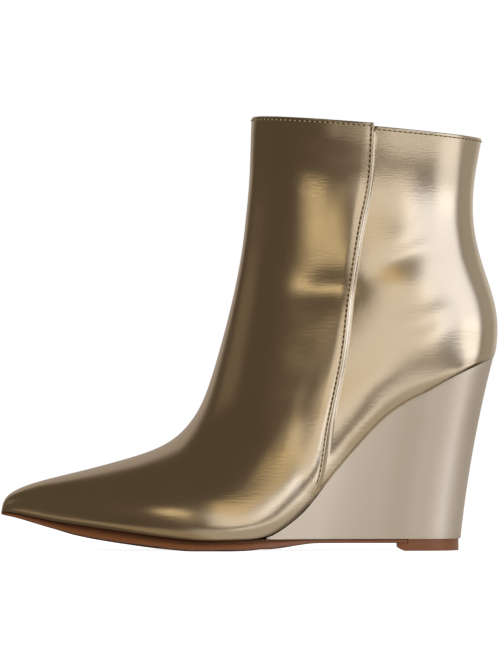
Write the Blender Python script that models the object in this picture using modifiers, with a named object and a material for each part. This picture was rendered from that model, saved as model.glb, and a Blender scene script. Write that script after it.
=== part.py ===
"""Heeled ankle boot for the left foot: a pointed toe, a covered wedge heel and a shaft to the ankle.

The toe points to -X, the outer side of the foot to -Y, and the floor is at z = 0.
The upper is lofted over the last through sections that lie like a fan: each runs from a base point
on the feather line, where upper and sole meet, or on the back curve, to a point on the front ridge.
"""

from functools import lru_cache

import bmesh
import bpy
import numpy as np

# Sizes of the last and the boot, in metres
LENGTH = 0.242
BALL_WIDTH = 0.0714
SEAT_RISE = 0.0893
TOE_SPRING = 0.0143
INSTEP_RISE = 0.056
SHAFT_HEIGHT = 0.1063
COLLAR_WIDTH = 0.0568
TOE_OVERHANG = 0.0004
HEEL_OVERHANG = 0.0022
INNER_SHIFT = 0.0012

# Sizes of the pieces, in metres
UPPER_WALL = 0.0018
SEAM_LAP = 0.0007
SEAM_FADE = 0.018
COLLAR_STEP = 0.0017
LASTING_MARGIN = 0.0065
INSOLE_THICKNESS = 0.0025
INSOLE_SLACK = 0.0022
SOLE_AT_BALL = 0.0045
SOLE_LEDGE = 0.0003
SOLE_EDGE_ROUND = 0.0006
WEDGE_BASE = 0.0061
WEDGE_INSET = 0.0004
WEDGE_LEAN = 0.0158
WEDGE_HOLLOW = 0.0017
WEDGE_TIP = 0.0006
SHANK_SOLE = 0.0017
LIFT_LENGTH = 0.0308
LIFT_LAP = 0.0044
LIFT_INSET = 0.0006
LIFT_CHAMFER = 0.0030
CLEARANCE = 0.0003
FACET_ROOM = 0.0003

# How much narrower the wedge is at its base, and how soon behind its tip it gets there
WEDGE_TAPER = 0.09
TAPER_RUN = 0.35

# The toe's lasting margin is at most this share of the half-width a little further back
MARGIN_SHARE = 0.45
MARGIN_AHEAD = 0.006

# The lap is flat at the seam's foot and full this many sections above it
LAP_FOOT_SECTIONS = 1.5

# Mesh density
STEPS_PER_SECTION = 3
FRONT_COLUMNS = 10
BACK_COLUMNS = 12
SOLE_STATIONS = 44
WEDGE_STATIONS = 26
WEDGE_LEVELS = 5

# Samples along a curve that is read off by interpolation
CURVE_SAMPLES = 400
SECTION_SAMPLES = 40

# Height of the feather line. along: share of LENGTH; spring: share of TOE_SPRING; heel: share of
# SEAT_RISE
FEATHER_HEIGHT = (
    (0.000, 1.000, 0.000),
    (0.036, 0.911, 0.000),
    (0.100, 0.683, 0.000),
    (0.161, 0.523, 0.000),
    (0.251, 0.302, 0.000),
    (0.331, 0.115, 0.000),
    (0.414, 0.000, 0.000),
    (0.462, 0.000, 0.003),
    (0.522, 0.000, 0.016),
    (0.545, 0.000, 0.036),
    (0.576, 0.000, 0.089),
    (0.612, 0.000, 0.174),
    (0.663, 0.000, 0.351),
    (0.707, 0.000, 0.492),
    (0.771, 0.000, 0.677),
    (0.815, 0.000, 0.758),
    (0.859, 0.000, 0.819),
    (0.902, 0.000, 0.884),
    (0.991, 0.000, 1.000),
)

# Plan of the feather line. run: share of its length; outer and inner: shares of BALL_WIDTH
FEATHER_PLAN = (
    (0.00, -0.042, 0.042),
    (0.02, 0.036, 0.120),
    (0.05, 0.083, 0.164),
    (0.10, 0.154, 0.227),
    (0.20, 0.303, 0.347),
    (0.30, 0.426, 0.429),
    (0.40, 0.501, 0.479),
    (0.48, 0.514, 0.485),
    (0.55, 0.482, 0.423),
    (0.62, 0.423, 0.342),
    (0.70, 0.373, 0.300),
    (0.80, 0.347, 0.311),
    (0.88, 0.341, 0.334),
    (0.94, 0.314, 0.311),
    (0.97, 0.244, 0.242),
    (1.00, 0.000, 0.000),
)

# Sections over the foot. run: share of the feather line where the section starts; front: share of
# LENGTH where it meets the ridge; rise: share of INSTEP_RISE from its start up to the ridge; ridge,
# outer and inner: sideways places of the ridge and the widest points, as shares of BALL_WIDTH;
# belly: height of the widest points; crown and tuck: fullness above and below them
FOOT_SECTIONS = (
    (0.012, 0.001, 0.009, 0.042, 0.018, 0.102, 0.00, 2.00, 2.00),
    (0.043, 0.010, 0.168, 0.042, 0.084, 0.168, 0.30, 2.10, 2.00),
    (0.110, 0.064, 0.337, 0.042, 0.185, 0.258, 0.28, 2.10, 2.60),
    (0.211, 0.161, 0.503, 0.042, 0.347, 0.389, 0.27, 2.05, 2.80),
    (0.313, 0.255, 0.675, 0.045, 0.476, 0.476, 0.26, 2.00, 3.00),
    (0.404, 0.315, 0.802, 0.050, 0.546, 0.524, 0.25, 1.95, 3.00),
    (0.485, 0.357, 0.907, 0.056, 0.560, 0.527, 0.25, 1.90, 3.00),
    (0.560, 0.390, 1.000, 0.059, 0.532, 0.490, 0.27, 1.85, 3.00),
    (0.627, 0.412, 0.946, 0.053, 0.487, 0.441, 0.31, 1.85, 3.00),
    (0.709, 0.433, 0.789, 0.042, 0.443, 0.415, 0.34, 1.90, 3.00),
    (0.810, 0.454, 0.707, 0.031, 0.420, 0.406, 0.37, 1.95, 2.90),
    (0.912, 0.472, 0.802, 0.020, 0.415, 0.406, 0.38, 2.00, 2.60),
    (1.000, 0.485, 0.932, 0.011, 0.412, 0.406, 0.42, 2.00, 2.40),
)

# Sections of the shaft, with the same columns, except that up is the share of SHAFT_HEIGHT where the
# section leaves the back curve, and ridge, outer and inner are shares of COLLAR_WIDTH
SHAFT_SECTIONS = (
    (0.149, 0.4916, 0.894, 0.009, 0.514, 0.507, 0.45, 2.00, 2.35),
    (0.368, 0.4985, 0.772, 0.005, 0.493, 0.486, 0.47, 2.05, 2.30),
    (0.574, 0.5010, 0.607, 0.002, 0.479, 0.472, 0.48, 2.10, 2.20),
    (0.803, 0.5024, 0.373, 0.000, 0.486, 0.479, 0.49, 2.10, 2.20),
    (1.000, 0.5040, 0.185, 0.000, 0.504, 0.496, 0.50, 2.10, 2.20),
)

# Back curve of the shaft. up: share of SHAFT_HEIGHT; back: share of LENGTH behind the seat's edge
BACK_CURVE = (
    (0.00, 0.0000),
    (0.06, 0.0080),
    (0.12, 0.0096),
    (0.18, 0.0088),
    (0.30, -0.0040),
    (0.43, -0.0235),
    (0.57, -0.0380),
    (0.68, -0.0420),
    (0.80, -0.0390),
    (1.00, -0.0240),
)

# Side seam. up: share of the way from the feather line to the collar; along: share of LENGTH
SIDE_SEAM = (
    (0.000, 0.6205),
    (0.055, 0.6365),
    (0.205, 0.6576),
    (0.389, 0.6867),
    (0.555, 0.7018),
    (0.732, 0.7229),
    (0.845, 0.7400),
    (1.000, 0.7475),
)

# Thickness of the outsole up to the wedge. along: share of LENGTH; thick: share of SOLE_AT_BALL
SOLE_THICKNESS = (
    (0.00, 0.25),
    (0.05, 0.46),
    (0.11, 0.72),
    (0.15, 1.00),
    (0.25, 1.14),
    (0.35, 1.05),
    (0.41, 1.00),
    (0.52, 1.00),
)
BALL_TO_WEDGE_SHARE = 0.05
SHANK_START_SHARE = 0.53
SHANK_FULL_SHARE = 0.64

FOOT = np.array(FOOT_SECTIONS)
SHAFT = np.array(SHAFT_SECTIONS)
SEAT_ROW = len(FOOT) - 1
LAST_ROW = len(FOOT) + len(SHAFT) - 1
TOE_X = TOE_OVERHANG - LENGTH / 2
SEAT_X = LENGTH / 2 - HEEL_OVERHANG
OUTER = -1
INNER = 1


def smooth(value):
    """An S curve from 0 to 1."""
    value = np.clip(value, 0, 1)
    return value * value * (3 - 2 * value)


def monotone(rows, column, value, turn=lambda place: place):
    """Reads a table's column with a curve that never overshoots its rows."""
    rows = np.array(rows)
    places = turn(rows[:, 0])
    heights = rows[:, column]
    gaps = np.diff(places)
    rises = np.diff(heights) / gaps
    slopes = np.concatenate([rises[:1], (rises[1:] + rises[:-1]) / 2, rises[-1:]])
    for index in range(1, len(slopes) - 1):
        before, after = rises[index - 1], rises[index]
        steepest = 3 * min(abs(before), abs(after))
        flat = before * after <= 0
        slopes[index] = 0 if flat else np.clip(slopes[index], -steepest, steepest)
    at = np.clip(turn(np.asarray(value, float)), places[0], places[-1])
    span = np.clip(np.searchsorted(places, at) - 1, 0, len(gaps) - 1)
    share = (at - places[span]) / gaps[span]
    start = heights[span] + slopes[span] * gaps[span] * share * (1 - share) ** 2
    end = heights[span + 1] - slopes[span + 1] * gaps[span] * share**2 * (1 - share)
    blend = smooth(share)
    low = start - heights[span]
    high = end - heights[span + 1]
    return heights[span] * (1 - blend) + heights[span + 1] * blend + low + high


def spline(values, place):
    """A smooth curve through values at 0, 1, 2 and so on."""
    values = np.concatenate([[2 * values[0] - values[1]], values, [2 * values[-1] - values[-2]]])
    span = np.clip(np.floor(place).astype(int), 0, len(values) - 4)
    share = place - span
    a, b, c, d = (values[span + step] for step in range(4))
    curve = 2 * a - 5 * b + 4 * c - d
    cubic = 3 * b - a - 3 * c + d
    return b + 0.5 * share * (c - a + share * (curve + share * cubic))


def round_ends(share):
    """Turns a share of a rounded outline into an angle, so that its ends stay round."""
    return np.arccos(1 - 2 * np.clip(share, 0, 1))


def feather_height(x):
    """Height of the feather line over the floor."""
    along = x / LENGTH + 0.5
    spring = monotone(FEATHER_HEIGHT, 1, along)
    heel = monotone(FEATHER_HEIGHT, 2, along)
    return SOLE_AT_BALL + spring * TOE_SPRING + heel * SEAT_RISE


def feather_side(x, side):
    """Sideways place of the feather line on the outer or the inner side."""
    run = (x - TOE_X) / (SEAT_X - TOE_X)
    column = 1 if side == OUTER else 2
    return INNER_SHIFT + side * BALL_WIDTH * monotone(FEATHER_PLAN, column, run, round_ends)


def parallel_height(x, distance):
    """Height of a line that runs beside the feather line's side view, at a distance square to it."""
    step = LENGTH / 2000
    slope = (feather_height(x + step) - feather_height(x - step)) / (2 * step)
    return feather_height(x) + distance * np.sqrt(1 + slope**2)


def moved_plan(side, inset):
    """One side of the feather line's plan, moved inwards: places along the foot and sideways."""
    angle = np.linspace(0, np.pi, CURVE_SAMPLES)
    x = TOE_X + (SEAT_X - TOE_X) * (1 - np.cos(angle)) / 2
    y = feather_side(x, side)
    along = np.gradient(x, angle)
    across = np.gradient(y, angle)
    along[[0, -1]] = 0
    size = np.hypot(along, across)
    moved_x = x + side * inset * across / size
    moved_y = y - side * inset * along / size
    return np.maximum.accumulate(moved_x), moved_y


def base_point(row):
    """Where a section starts: on the feather line, or above the seat on the back curve."""
    angle = spline(round_ends(FOOT[:, 0]), np.minimum(row, SEAT_ROW))
    run = (1 - np.cos(np.clip(angle, 0, np.pi))) / 2
    on_sole = TOE_X + (SEAT_X - TOE_X) * run
    ups = np.concatenate([[0], SHAFT[:, 0]])
    up = spline(ups, np.clip(row - SEAT_ROW, 0, len(SHAFT)))
    on_back = SEAT_X + LENGTH * monotone(BACK_CURVE, 1, up)
    if row <= SEAT_ROW:
        return np.array([on_sole, feather_height(on_sole)])
    return np.array([on_back, feather_height(SEAT_X) + up * SHAFT_HEIGHT])


def column_sizes(column):
    """A width column of both section tables, in metres."""
    return np.concatenate([FOOT[:, column] * BALL_WIDTH, SHAFT[:, column] * COLLAR_WIDTH])


@lru_cache
def ridge_heights():
    """Height of the front ridge at each row of the two section tables."""
    rises = np.concatenate([FOOT[:, 2], SHAFT[:, 2]]) * INSTEP_RISE
    return np.array([base_point(row)[1] for row in range(LAST_ROW + 1)]) + rises


def ridge_point(row):
    """Where a section meets the front ridge, in side view."""
    fronts = np.concatenate([FOOT[:, 1], SHAFT[:, 1]])
    return np.array([(spline(fronts, row) - 0.5) * LENGTH, spline(ridge_heights(), row)])


class Section:
    """One section of the last: half outlines from the ridge down to the base on each side."""

    def __init__(self, row):
        self.row = row
        self.base = base_point(row)
        self.ridge = ridge_point(row)
        self.height = np.hypot(*(self.ridge - self.base))
        shape = np.concatenate([FOOT[:, 6:], SHAFT[:, 6:]])
        belly, crown, tuck = (spline(shape[:, index], row) for index in range(3))
        top_y = INNER_SHIFT + spline(column_sizes(3), row)
        if row < SEAT_ROW:
            feet = {side: feather_side(self.base[0], side) for side in (OUTER, INNER)}
        else:
            feet = {OUTER: INNER_SHIFT, INNER: INNER_SHIFT}
        centre = (feet[OUTER] + feet[INNER]) / 2
        quarter = np.linspace(0, np.pi / 2, SECTION_SAMPLES)
        self.halves = {}
        for side, column in ((OUTER, 4), (INNER, 5)):
            half_foot = side * (feet[side] - centre)
            half_wide = side * (INNER_SHIFT - centre) + spline(column_sizes(column), row)
            half_wide = half_foot if row == 0 else max(half_wide, half_foot)
            wide_y = centre + side * half_wide
            up = belly + (1 - belly) * np.cos(quarter) ** (2 / crown)
            out = top_y + (wide_y - top_y) * np.sin(quarter) ** (2 / crown)
            turn = quarter[1:] / quarter[-1] * np.arccos((half_foot / half_wide) ** (tuck / 2))
            depth = np.sin(turn) ** (2 / tuck)
            down = belly * (1 - depth / max(depth[-1], 1e-9))
            back = centre + side * half_wide * np.cos(turn) ** (2 / tuck)
            level = np.concatenate([up, down])
            y = np.concatenate([out, back])
            steps = np.hypot(np.diff(level) * self.height, np.diff(y))
            girth = np.concatenate([[0], np.cumsum(steps)])
            self.halves[side] = (girth / girth[-1], level, y, girth[-1])

    def point(self, share):
        """The point at a share of the half outline, negative on the outer side."""
        girths, level, y, _ = self.halves[OUTER if share < 0 else INNER]
        at = np.interp(abs(share), girths, level)
        x, z = self.base + (self.ridge - self.base) * at
        return np.array([x, np.interp(abs(share), girths, y), z])

    def side_at_level(self, side, level):
        """Sideways place of the half outline at a level of the section."""
        _, levels, y, _ = self.halves[side]
        return np.interp(-level, -levels, y)

    def seam_share(self, side):
        """Where the side seam crosses this section, as a share of the half outline."""
        foot = np.array([(SIDE_SEAM[0][1] - 0.5) * LENGTH, 0])
        foot[1] = feather_height(foot[0])
        collar = collar_height((SIDE_SEAM[-1][1] - 0.5) * LENGTH)
        level = np.linspace(0, 1, CURVE_SAMPLES)
        x, z = (self.base[axis] + (self.ridge[axis] - self.base[axis]) * level for axis in (0, 1))
        up = (z - foot[1]) / (collar - foot[1])
        seam = (monotone(SIDE_SEAM, 1, up) - 0.5) * LENGTH
        girths, levels, _, _ = self.halves[side]
        return np.interp(-np.interp(0, seam - x, level), -levels, girths)


def collar_height(x):
    """Height of the last section's straight line in side view."""
    base = base_point(LAST_ROW)
    ridge = ridge_point(LAST_ROW)
    return np.interp(x, [ridge[0], base[0]], [ridge[1], base[1]])


class Fan:
    """The side view of all sections, to find the one that passes through a point."""

    def __init__(self):
        self.rows = np.linspace(0, LAST_ROW, CURVE_SAMPLES)
        self.bases = np.array([base_point(row) for row in self.rows])
        self.lines = np.array([ridge_point(row) for row in self.rows]) - self.bases

    def sides(self, x, z):
        """Sideways places (outer, inner) of the last's surface at a point of the side view."""
        gap = np.array([x, z]) - self.bases
        turn = self.lines[:, 0] * gap[:, 1] - self.lines[:, 1] * gap[:, 0]
        crossings = np.nonzero(np.diff(np.sign(turn)))[0]
        inside = [k for k in crossings if gap[k] @ self.lines[k] > -1e-6]
        row = LAST_ROW
        if inside:
            first = inside[0]
            share = turn[first] / (turn[first] - turn[first + 1])
            row = self.rows[first] + share * (self.rows[1] - self.rows[0])
        section = Section(row)
        line = section.ridge - section.base
        level = float(np.clip((np.array([x, z]) - section.base) @ line / (line @ line), 0, 1))
        return {side: section.side_at_level(side, level) for side in (OUTER, INNER)}


def seam_foot_row():
    """The section that starts where the side seam reaches the feather line."""
    rows = np.linspace(0, SEAT_ROW, CURVE_SAMPLES)
    places = [base_point(row)[0] for row in rows]
    return np.interp((SIDE_SEAM[0][1] - 0.5) * LENGTH, places, rows)


def new_object(name, mesh, collection):
    piece = bpy.data.objects.new(name, mesh)
    collection.objects.link(piece)
    return piece


def give_material(piece, name, colour, metallic, roughness):
    material = bpy.data.materials.new(name)
    material.use_nodes = True
    shader = material.node_tree.nodes["Principled BSDF"]
    shader.inputs["Base Color"].default_value = (*colour, 1)
    shader.inputs["Metallic"].default_value = metallic
    shader.inputs["Roughness"].default_value = roughness
    piece.data.materials.append(material)


class Skin:
    """The outer skin of the upper, read by section index and share of the half outline."""

    def __init__(self):
        self.rows = np.linspace(0, LAST_ROW, LAST_ROW * STEPS_PER_SECTION + 1)
        self.seam_row = seam_foot_row()
        self.first = int(np.argmin(np.abs(self.rows - self.seam_row)))
        self.rows[self.first] = self.seam_row
        self.last = len(self.rows) - 1
        self.sections = [Section(row) for row in self.rows]
        self.seams = []
        for index, section in enumerate(self.sections):
            at_seam = index > self.first
            shares = {side: section.seam_share(side) if at_seam else 1.0 for side in (OUTER, INNER)}
            self.seams.append(shares)

    def point(self, index, share):
        return self.sections[index].point(share)

    def seam(self, index, side):
        return self.point(index, side * self.seams[index][side])

    def square(self, index, share):
        """The outward direction of the skin."""
        lower = self.point(max(index - 1, 0), share)
        upper = self.point(min(index + 1, self.last), share)
        nudge = 1 / SECTION_SAMPLES
        left = self.point(index, min(share + nudge, 1))
        right = self.point(index, max(share - nudge, -1))
        outwards = np.cross(left - right, upper - lower)
        size = np.linalg.norm(outwards)
        return outwards / size if size > 0 else np.zeros(3)

    def lap(self, index, share):
        """How far the front panel stands off the skin beside the seam."""
        if index <= self.first:
            return 0
        side = OUTER if share < 0 else INNER
        away = (self.seams[index][side] - abs(share)) * self.sections[index].halves[side][3]
        at_foot = smooth((self.rows[index] - self.seam_row) / LAP_FOOT_SECTIONS)
        return SEAM_LAP * at_foot * smooth(1 - away / SEAM_FADE)

    def front_panel(self, index, share):
        """A point of the front panel, whose topline stands higher beside the seam."""
        point = self.point(index, share)
        if index == self.last:
            side = OUTER if share < 0 else INNER
            lift = COLLAR_STEP * (1 - (1 - abs(share) / self.seams[index][side]) ** 2)
            upwards = point - self.point(index - 1, share)
            point = point + upwards * lift / np.linalg.norm(upwards)
        return point + self.square(index, share) * self.lap(index, share)


def front_grid(bm, skin):
    """The front panel's rows of vertices, from the outer seam over the ridge to the inner seam."""
    grid = []
    for index in range(skin.last + 1):
        ring = []
        for column in range(-FRONT_COLUMNS, FRONT_COLUMNS + 1):
            side = OUTER if column < 0 else INNER
            share = column / FRONT_COLUMNS * skin.seams[index][side]
            ring.append(bm.verts.new(skin.front_panel(index, share)))
        grid.append(ring)
    for lower, upper in zip(grid[:-1], grid[1:]):
        for a, b, c, d in zip(lower[:-1], lower[1:], upper[1:], upper[:-1]):
            bm.faces.new((a, b, c, d))
    return grid


def back_grid(bm, skin, seam_foot):
    """The back panel's rows of vertices on each side, from the seam to the back curve.

    In side view the grid is stretched between the seam, the feather line and the back curve."""
    fan = Fan()
    shares = np.sin(np.linspace(0, np.pi / 2, BACK_COLUMNS + 1))
    start = skin.seam(skin.first, OUTER)[[0, 2]]
    seat = np.array([SEAT_X, feather_height(SEAT_X)])
    tall = skin.seam(skin.last, OUTER)[2] - start[1]
    grid = {OUTER: {}, INNER: {}}
    for index in range(skin.first, skin.last + 1):
        seam = skin.seam(index, OUTER)[[0, 2]]
        up = (seam[1] - start[1]) / tall
        rear = seat + np.array([LENGTH * monotone(BACK_CURVE, 1, up), up * SHAFT_HEIGHT])
        for side in (OUTER, INNER):
            at_foot = index == skin.first
            grid[side][index] = [seam_foot[side] if at_foot else bm.verts.new(skin.seam(index, side))]
        for share in shares[1:-1]:
            straight = start * (1 - share) + seat * share
            sole = np.array([straight[0], feather_height(straight[0])])
            x, z = seam * (1 - share) + rear * share + (sole - straight) * (1 - up)
            sides = fan.sides(x, z)
            if index == skin.first:
                sides = {side: feather_side(x, side) for side in (OUTER, INNER)}
            for side in (OUTER, INNER):
                grid[side][index].append(bm.verts.new((x, sides[side], z)))
        middle = bm.verts.new((rear[0], INNER_SHIFT, rear[1]))
        for side in (OUTER, INNER):
            grid[side][index].append(middle)
    return grid


def join_panels(bm, skin, front, back):
    """The back panel's faces, and the small step up to the front panel along each seam."""
    for side, edge in ((OUTER, 0), (INNER, -1)):
        for index in range(skin.first, skin.last):
            lower = back[side][index]
            upper = back[side][index + 1]
            quads = [(front[index][edge], front[index + 1][edge], upper[0], lower[0])]
            quads += zip(lower[:-1], upper[:-1], upper[1:], lower[1:])
            for quad in quads:
                corners = list(dict.fromkeys(quad))
                bm.faces.new(corners if side == INNER else corners[::-1])


def turn_in_margin(bm, edge):
    """The lasting margin: a flange from the feather edge inwards, narrower in the toe."""
    turned = []
    for index, vertex in enumerate(edge):
        before = edge[index - 1].co
        after = edge[(index + 1) % len(edge)].co
        direction = np.array([after.x - before.x, after.y - before.y])
        inwards = np.array([direction[1], -direction[0]]) / np.linalg.norm(direction)
        ahead = min(vertex.co.x + MARGIN_AHEAD, SEAT_X)
        half = (feather_side(ahead, INNER) - feather_side(ahead, OUTER)) / 2
        in_toe = vertex.co.x < 0
        width = min(LASTING_MARGIN, MARGIN_SHARE * half) if in_toe else LASTING_MARGIN
        x, y = np.array([vertex.co.x, vertex.co.y]) + width * inwards
        turned.append(bm.verts.new((x, y, feather_height(x))))
    for index in range(len(edge)):
        bm.faces.new((edge[index - 1], edge[index], turned[index], turned[index - 1]))


def build_upper(collection):
    """The hollow upper: a front panel that laps over a back panel, and the lasting margin."""
    skin = Skin()
    bm = bmesh.new()
    front = front_grid(bm, skin)
    seam_foot = {OUTER: front[skin.first][0], INNER: front[skin.first][-1]}
    back = back_grid(bm, skin, seam_foot)
    join_panels(bm, skin, front, back)
    foot = front[: skin.first + 1]
    edge = back[OUTER][skin.first][:0:-1] + [ring[0] for ring in foot[:0:-1]] + front[0]
    edge += [ring[-1] for ring in foot[1:]] + back[INNER][skin.first][1:-1]
    turn_in_margin(bm, edge)
    bmesh.ops.recalc_face_normals(bm, faces=bm.faces)
    top = max(bm.faces, key=lambda face: face.calc_center_median().z)
    if (top.calc_center_median().y - INNER_SHIFT) * top.normal.y < 0:
        bmesh.ops.reverse_faces(bm, faces=bm.faces)
    mesh = bpy.data.meshes.new("upper")
    bm.to_mesh(mesh)
    bm.free()
    mesh.shade_smooth()
    piece = new_object("upper", mesh, collection)
    wall = piece.modifiers.new("Wall", "SOLIDIFY")
    wall.thickness = UPPER_WALL
    wall.offset = -1
    give_material(piece, "Metallic coated leather", (0.47, 0.39, 0.26), 1.0, 0.28)


def loft(name, sections, collection):
    """A closed solid through rings of equal length. A ring may collapse to a line or a point."""
    bm = bmesh.new()
    rings = [[bm.verts.new(point) for point in ring] for ring in sections]
    for lower, upper in zip(rings[:-1], rings[1:]):
        for index in range(len(lower)):
            bm.faces.new((lower[index - 1], lower[index], upper[index], upper[index - 1]))
    bm.faces.new(rings[0])
    bm.faces.new(rings[-1])
    bmesh.ops.remove_doubles(bm, verts=bm.verts, dist=1e-6)
    bmesh.ops.recalc_face_normals(bm, faces=bm.faces)
    mesh = bpy.data.meshes.new(name)
    bm.to_mesh(mesh)
    bm.free()
    return new_object(name, mesh, collection)


def build_insole(collection):
    """A thin board that lies on the lasting margin, clear of the upper's wall."""
    plans = {side: moved_plan(side, UPPER_WALL + INSOLE_SLACK) for side in (OUTER, INNER)}
    start, end = plans[OUTER][0][[0, -1]]
    low = UPPER_WALL + CLEARANCE
    rings = []
    for angle in np.linspace(0, np.pi, SOLE_STATIONS):
        x = start + (end - start) * (1 - np.cos(angle)) / 2
        left, right = (np.interp(x, *plans[side]) for side in (OUTER, INNER))
        bottom = parallel_height(x, low)
        top = parallel_height(x, low + INSOLE_THICKNESS)
        rings.append([(x, left, bottom), (x, right, bottom), (x, right, top), (x, left, top)])
    piece = loft("insole", rings, collection)
    give_material(piece, "Insole sock", (0.52, 0.42, 0.30), 0.0, 0.7)


@lru_cache
def wedge_front():
    """Where the feather line has risen enough over the wedge's base for the wedge to begin."""
    x = np.linspace(0, SEAT_X, CURVE_SAMPLES)
    rise = feather_height(x) - WEDGE_BASE
    return float(np.interp(WEDGE_TIP + 2 * CLEARANCE, rise, x))


def wedge_outline(shares, level):
    """(x, outer y, inner y) at shares of the wedge's run and a level, 0 on top and 1 at its base."""
    start = wedge_front()
    top_end = SEAT_X - WEDGE_INSET
    hollow = WEDGE_HOLLOW * 4 * level * (1 - level) * shares
    back = top_end - level * WEDGE_LEAN - hollow
    narrow = 1 - level * WEDGE_TAPER * smooth(shares / TAPER_RUN)
    outline = [start + (back - start) * shares]
    for side in (OUTER, INNER):
        on_top = np.interp(start + (top_end - start) * shares, *moved_plan(side, WEDGE_INSET))
        outline.append(INNER_SHIFT + (on_top - INNER_SHIFT) * narrow)
    return outline


def build_wedge(collection):
    """The wedge: its top follows the feather line, its base is flat and narrower, its back leans in."""
    shares = np.sin(np.linspace(0, np.pi / 2, WEDGE_STATIONS))
    levels = np.linspace(0, 1, WEDGE_LEVELS)
    outlines = [wedge_outline(shares, level) for level in levels]
    rings = []
    for index in range(WEDGE_STATIONS):
        top_z = parallel_height(outlines[0][0][index], -CLEARANCE - FACET_ROOM)
        outer_wall = []
        inner_wall = []
        for level, (x, outer, inner) in zip(levels, outlines):
            z = top_z + (WEDGE_BASE - top_z) * level
            outer_wall.append((x[index], outer[index], z))
            inner_wall.append((x[index], inner[index], z))
        rings.append(outer_wall + inner_wall[::-1])
    piece = loft("wedge_heel", rings, collection)
    give_material(piece, "Covered wedge", (0.50, 0.42, 0.31), 0.8, 0.35)


def lift_front():
    return SEAT_X - WEDGE_INSET - WEDGE_LEAN - LIFT_LENGTH


def base_outline(inset):
    """(x, outer y, inner y) of the wedge's base, moved in by inset at its back and sides."""
    x, outer, inner = wedge_outline(np.linspace(0, 1, CURVE_SAMPLES), 1)
    x = x[0] + (x - x[0]) * (1 - inset / (x[-1] - x[0]))
    width = 1 - 2 * inset / (inner.max() - outer.min())
    return x, INNER_SHIFT + (outer - INNER_SHIFT) * width, INNER_SHIFT + (inner - INNER_SHIFT) * width


def build_outsole(collection):
    """The thin sole: full width under the foot, and along the wedge's base back to the top lift."""
    join = wedge_front()
    start = moved_plan(OUTER, -SOLE_LEDGE)[0][0]
    end = lift_front() + LIFT_LAP
    base_x, *base_sides = base_outline(WEDGE_INSET)
    turns = np.linspace(0, np.pi / 2, SOLE_STATIONS)
    under_foot = start + (join - start) * (1 - np.cos(turns))
    under_wedge = np.linspace(join, end, SOLE_STATIONS // 2)[1:]
    rings = []
    for x in np.concatenate([under_foot, under_wedge]):
        sides = []
        for side, base_side in zip((OUTER, INNER), base_sides):
            if x <= join:
                sides.append(np.interp(x, *moved_plan(side, -SOLE_LEDGE)))
            else:
                ledge = SOLE_LEDGE * (1 - smooth((x - join) / LIFT_LENGTH))
                sides.append(np.interp(x, base_x, base_side) + side * ledge)
        left, right = sides
        along = x / LENGTH + 0.5
        top = feather_height(x) - CLEARANCE
        if x > join - LENGTH * BALL_TO_WEDGE_SHARE:
            top = min(top, WEDGE_BASE - CLEARANCE)
        thick = SOLE_AT_BALL * monotone(SOLE_THICKNESS, 1, along)
        to_shank = smooth((along - SHANK_START_SHARE) / (SHANK_FULL_SHARE - SHANK_START_SHARE))
        thick = thick + (SHANK_SOLE - thick) * to_shank
        bottom = max(top - thick, 0.0)
        edge = min(SOLE_EDGE_ROUND, (top - bottom) / 3, (right - left) / 4)
        rings.append([
            (x, left + edge, bottom),
            (x, right - edge, bottom),
            (x, right, bottom + edge),
            (x, right, top),
            (x, left, top),
            (x, left, bottom + edge),
        ])
    piece = loft("outsole", rings, collection)
    give_material(piece, "Brown sole", (0.30, 0.14, 0.06), 0.0, 0.45)


def prism(name, outline, depth, collection):
    """A solid from a flat outline, moved through depth."""
    bm = bmesh.new()
    face = bm.faces.new([bm.verts.new(point) for point in outline])
    moved = bmesh.ops.extrude_face_region(bm, geom=[face])["geom"]
    corners = [item for item in moved if isinstance(item, bmesh.types.BMVert)]
    bmesh.ops.translate(bm, verts=corners, vec=depth)
    bmesh.ops.recalc_face_normals(bm, faces=bm.faces)
    mesh = bpy.data.meshes.new(name)
    bm.to_mesh(mesh)
    bm.free()
    return new_object(name, mesh, collection)


def build_top_lift(collection, cutters):
    """The block under the wedge's back. Its front edge reaches under the outsole's end."""
    top = WEDGE_BASE - CLEARANCE
    front = lift_front()
    base_x, base_outer, base_inner = base_outline(WEDGE_INSET + LIFT_INSET)
    run = base_x[-1] - base_x[0]
    begin = np.arcsin((front - base_x[0]) / run)
    x = base_x[0] + run * np.sin(np.linspace(begin, np.pi / 2, SOLE_STATIONS // 2))
    plan = list(zip(x, np.interp(x, base_x, base_outer), 0 * x))
    plan += list(zip(x, np.interp(x, base_x, base_inner), 0 * x))[-2::-1]
    piece = prism("top_lift", plan, (0, 0, top), collection)
    under = WEDGE_BASE - SHANK_SOLE - 2 * CLEARANCE
    step = front + LIFT_LAP + CLEARANCE
    behind = x[-1] + CLEARANCE
    profile = (
        (front + LIFT_CHAMFER, -CLEARANCE),
        (front + LIFT_CHAMFER, 0),
        (front - CLEARANCE, LIFT_CHAMFER / 2),
        (front - CLEARANCE, under),
        (step, under),
        (step, top + CLEARANCE),
        (behind, top + CLEARANCE),
        (behind, -CLEARANCE),
    )
    side_view = [(at, -BALL_WIDTH, height) for at, height in profile]
    shape = prism("lift_side_view", side_view, (0, 2 * BALL_WIDTH, 0), cutters)
    shape.hide_render = True
    shape.display_type = "WIRE"
    cut = piece.modifiers.new("Side view", "BOOLEAN")
    cut.operation = "INTERSECT"
    cut.object = shape
    give_material(piece, "Brown top lift", (0.34, 0.16, 0.07), 0.0, 0.45)


def main():
    for thing in list(bpy.data.objects):
        bpy.data.objects.remove(thing)
    boot = bpy.data.collections.new("heeled_ankle_boot")
    cutters = bpy.data.collections.new("cutters")
    bpy.context.scene.collection.children.link(boot)
    bpy.context.scene.collection.children.link(cutters)
    build_upper(boot)
    build_insole(boot)
    build_wedge(boot)
    build_outsole(boot)
    build_top_lift(boot, cutters)


main()
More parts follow.
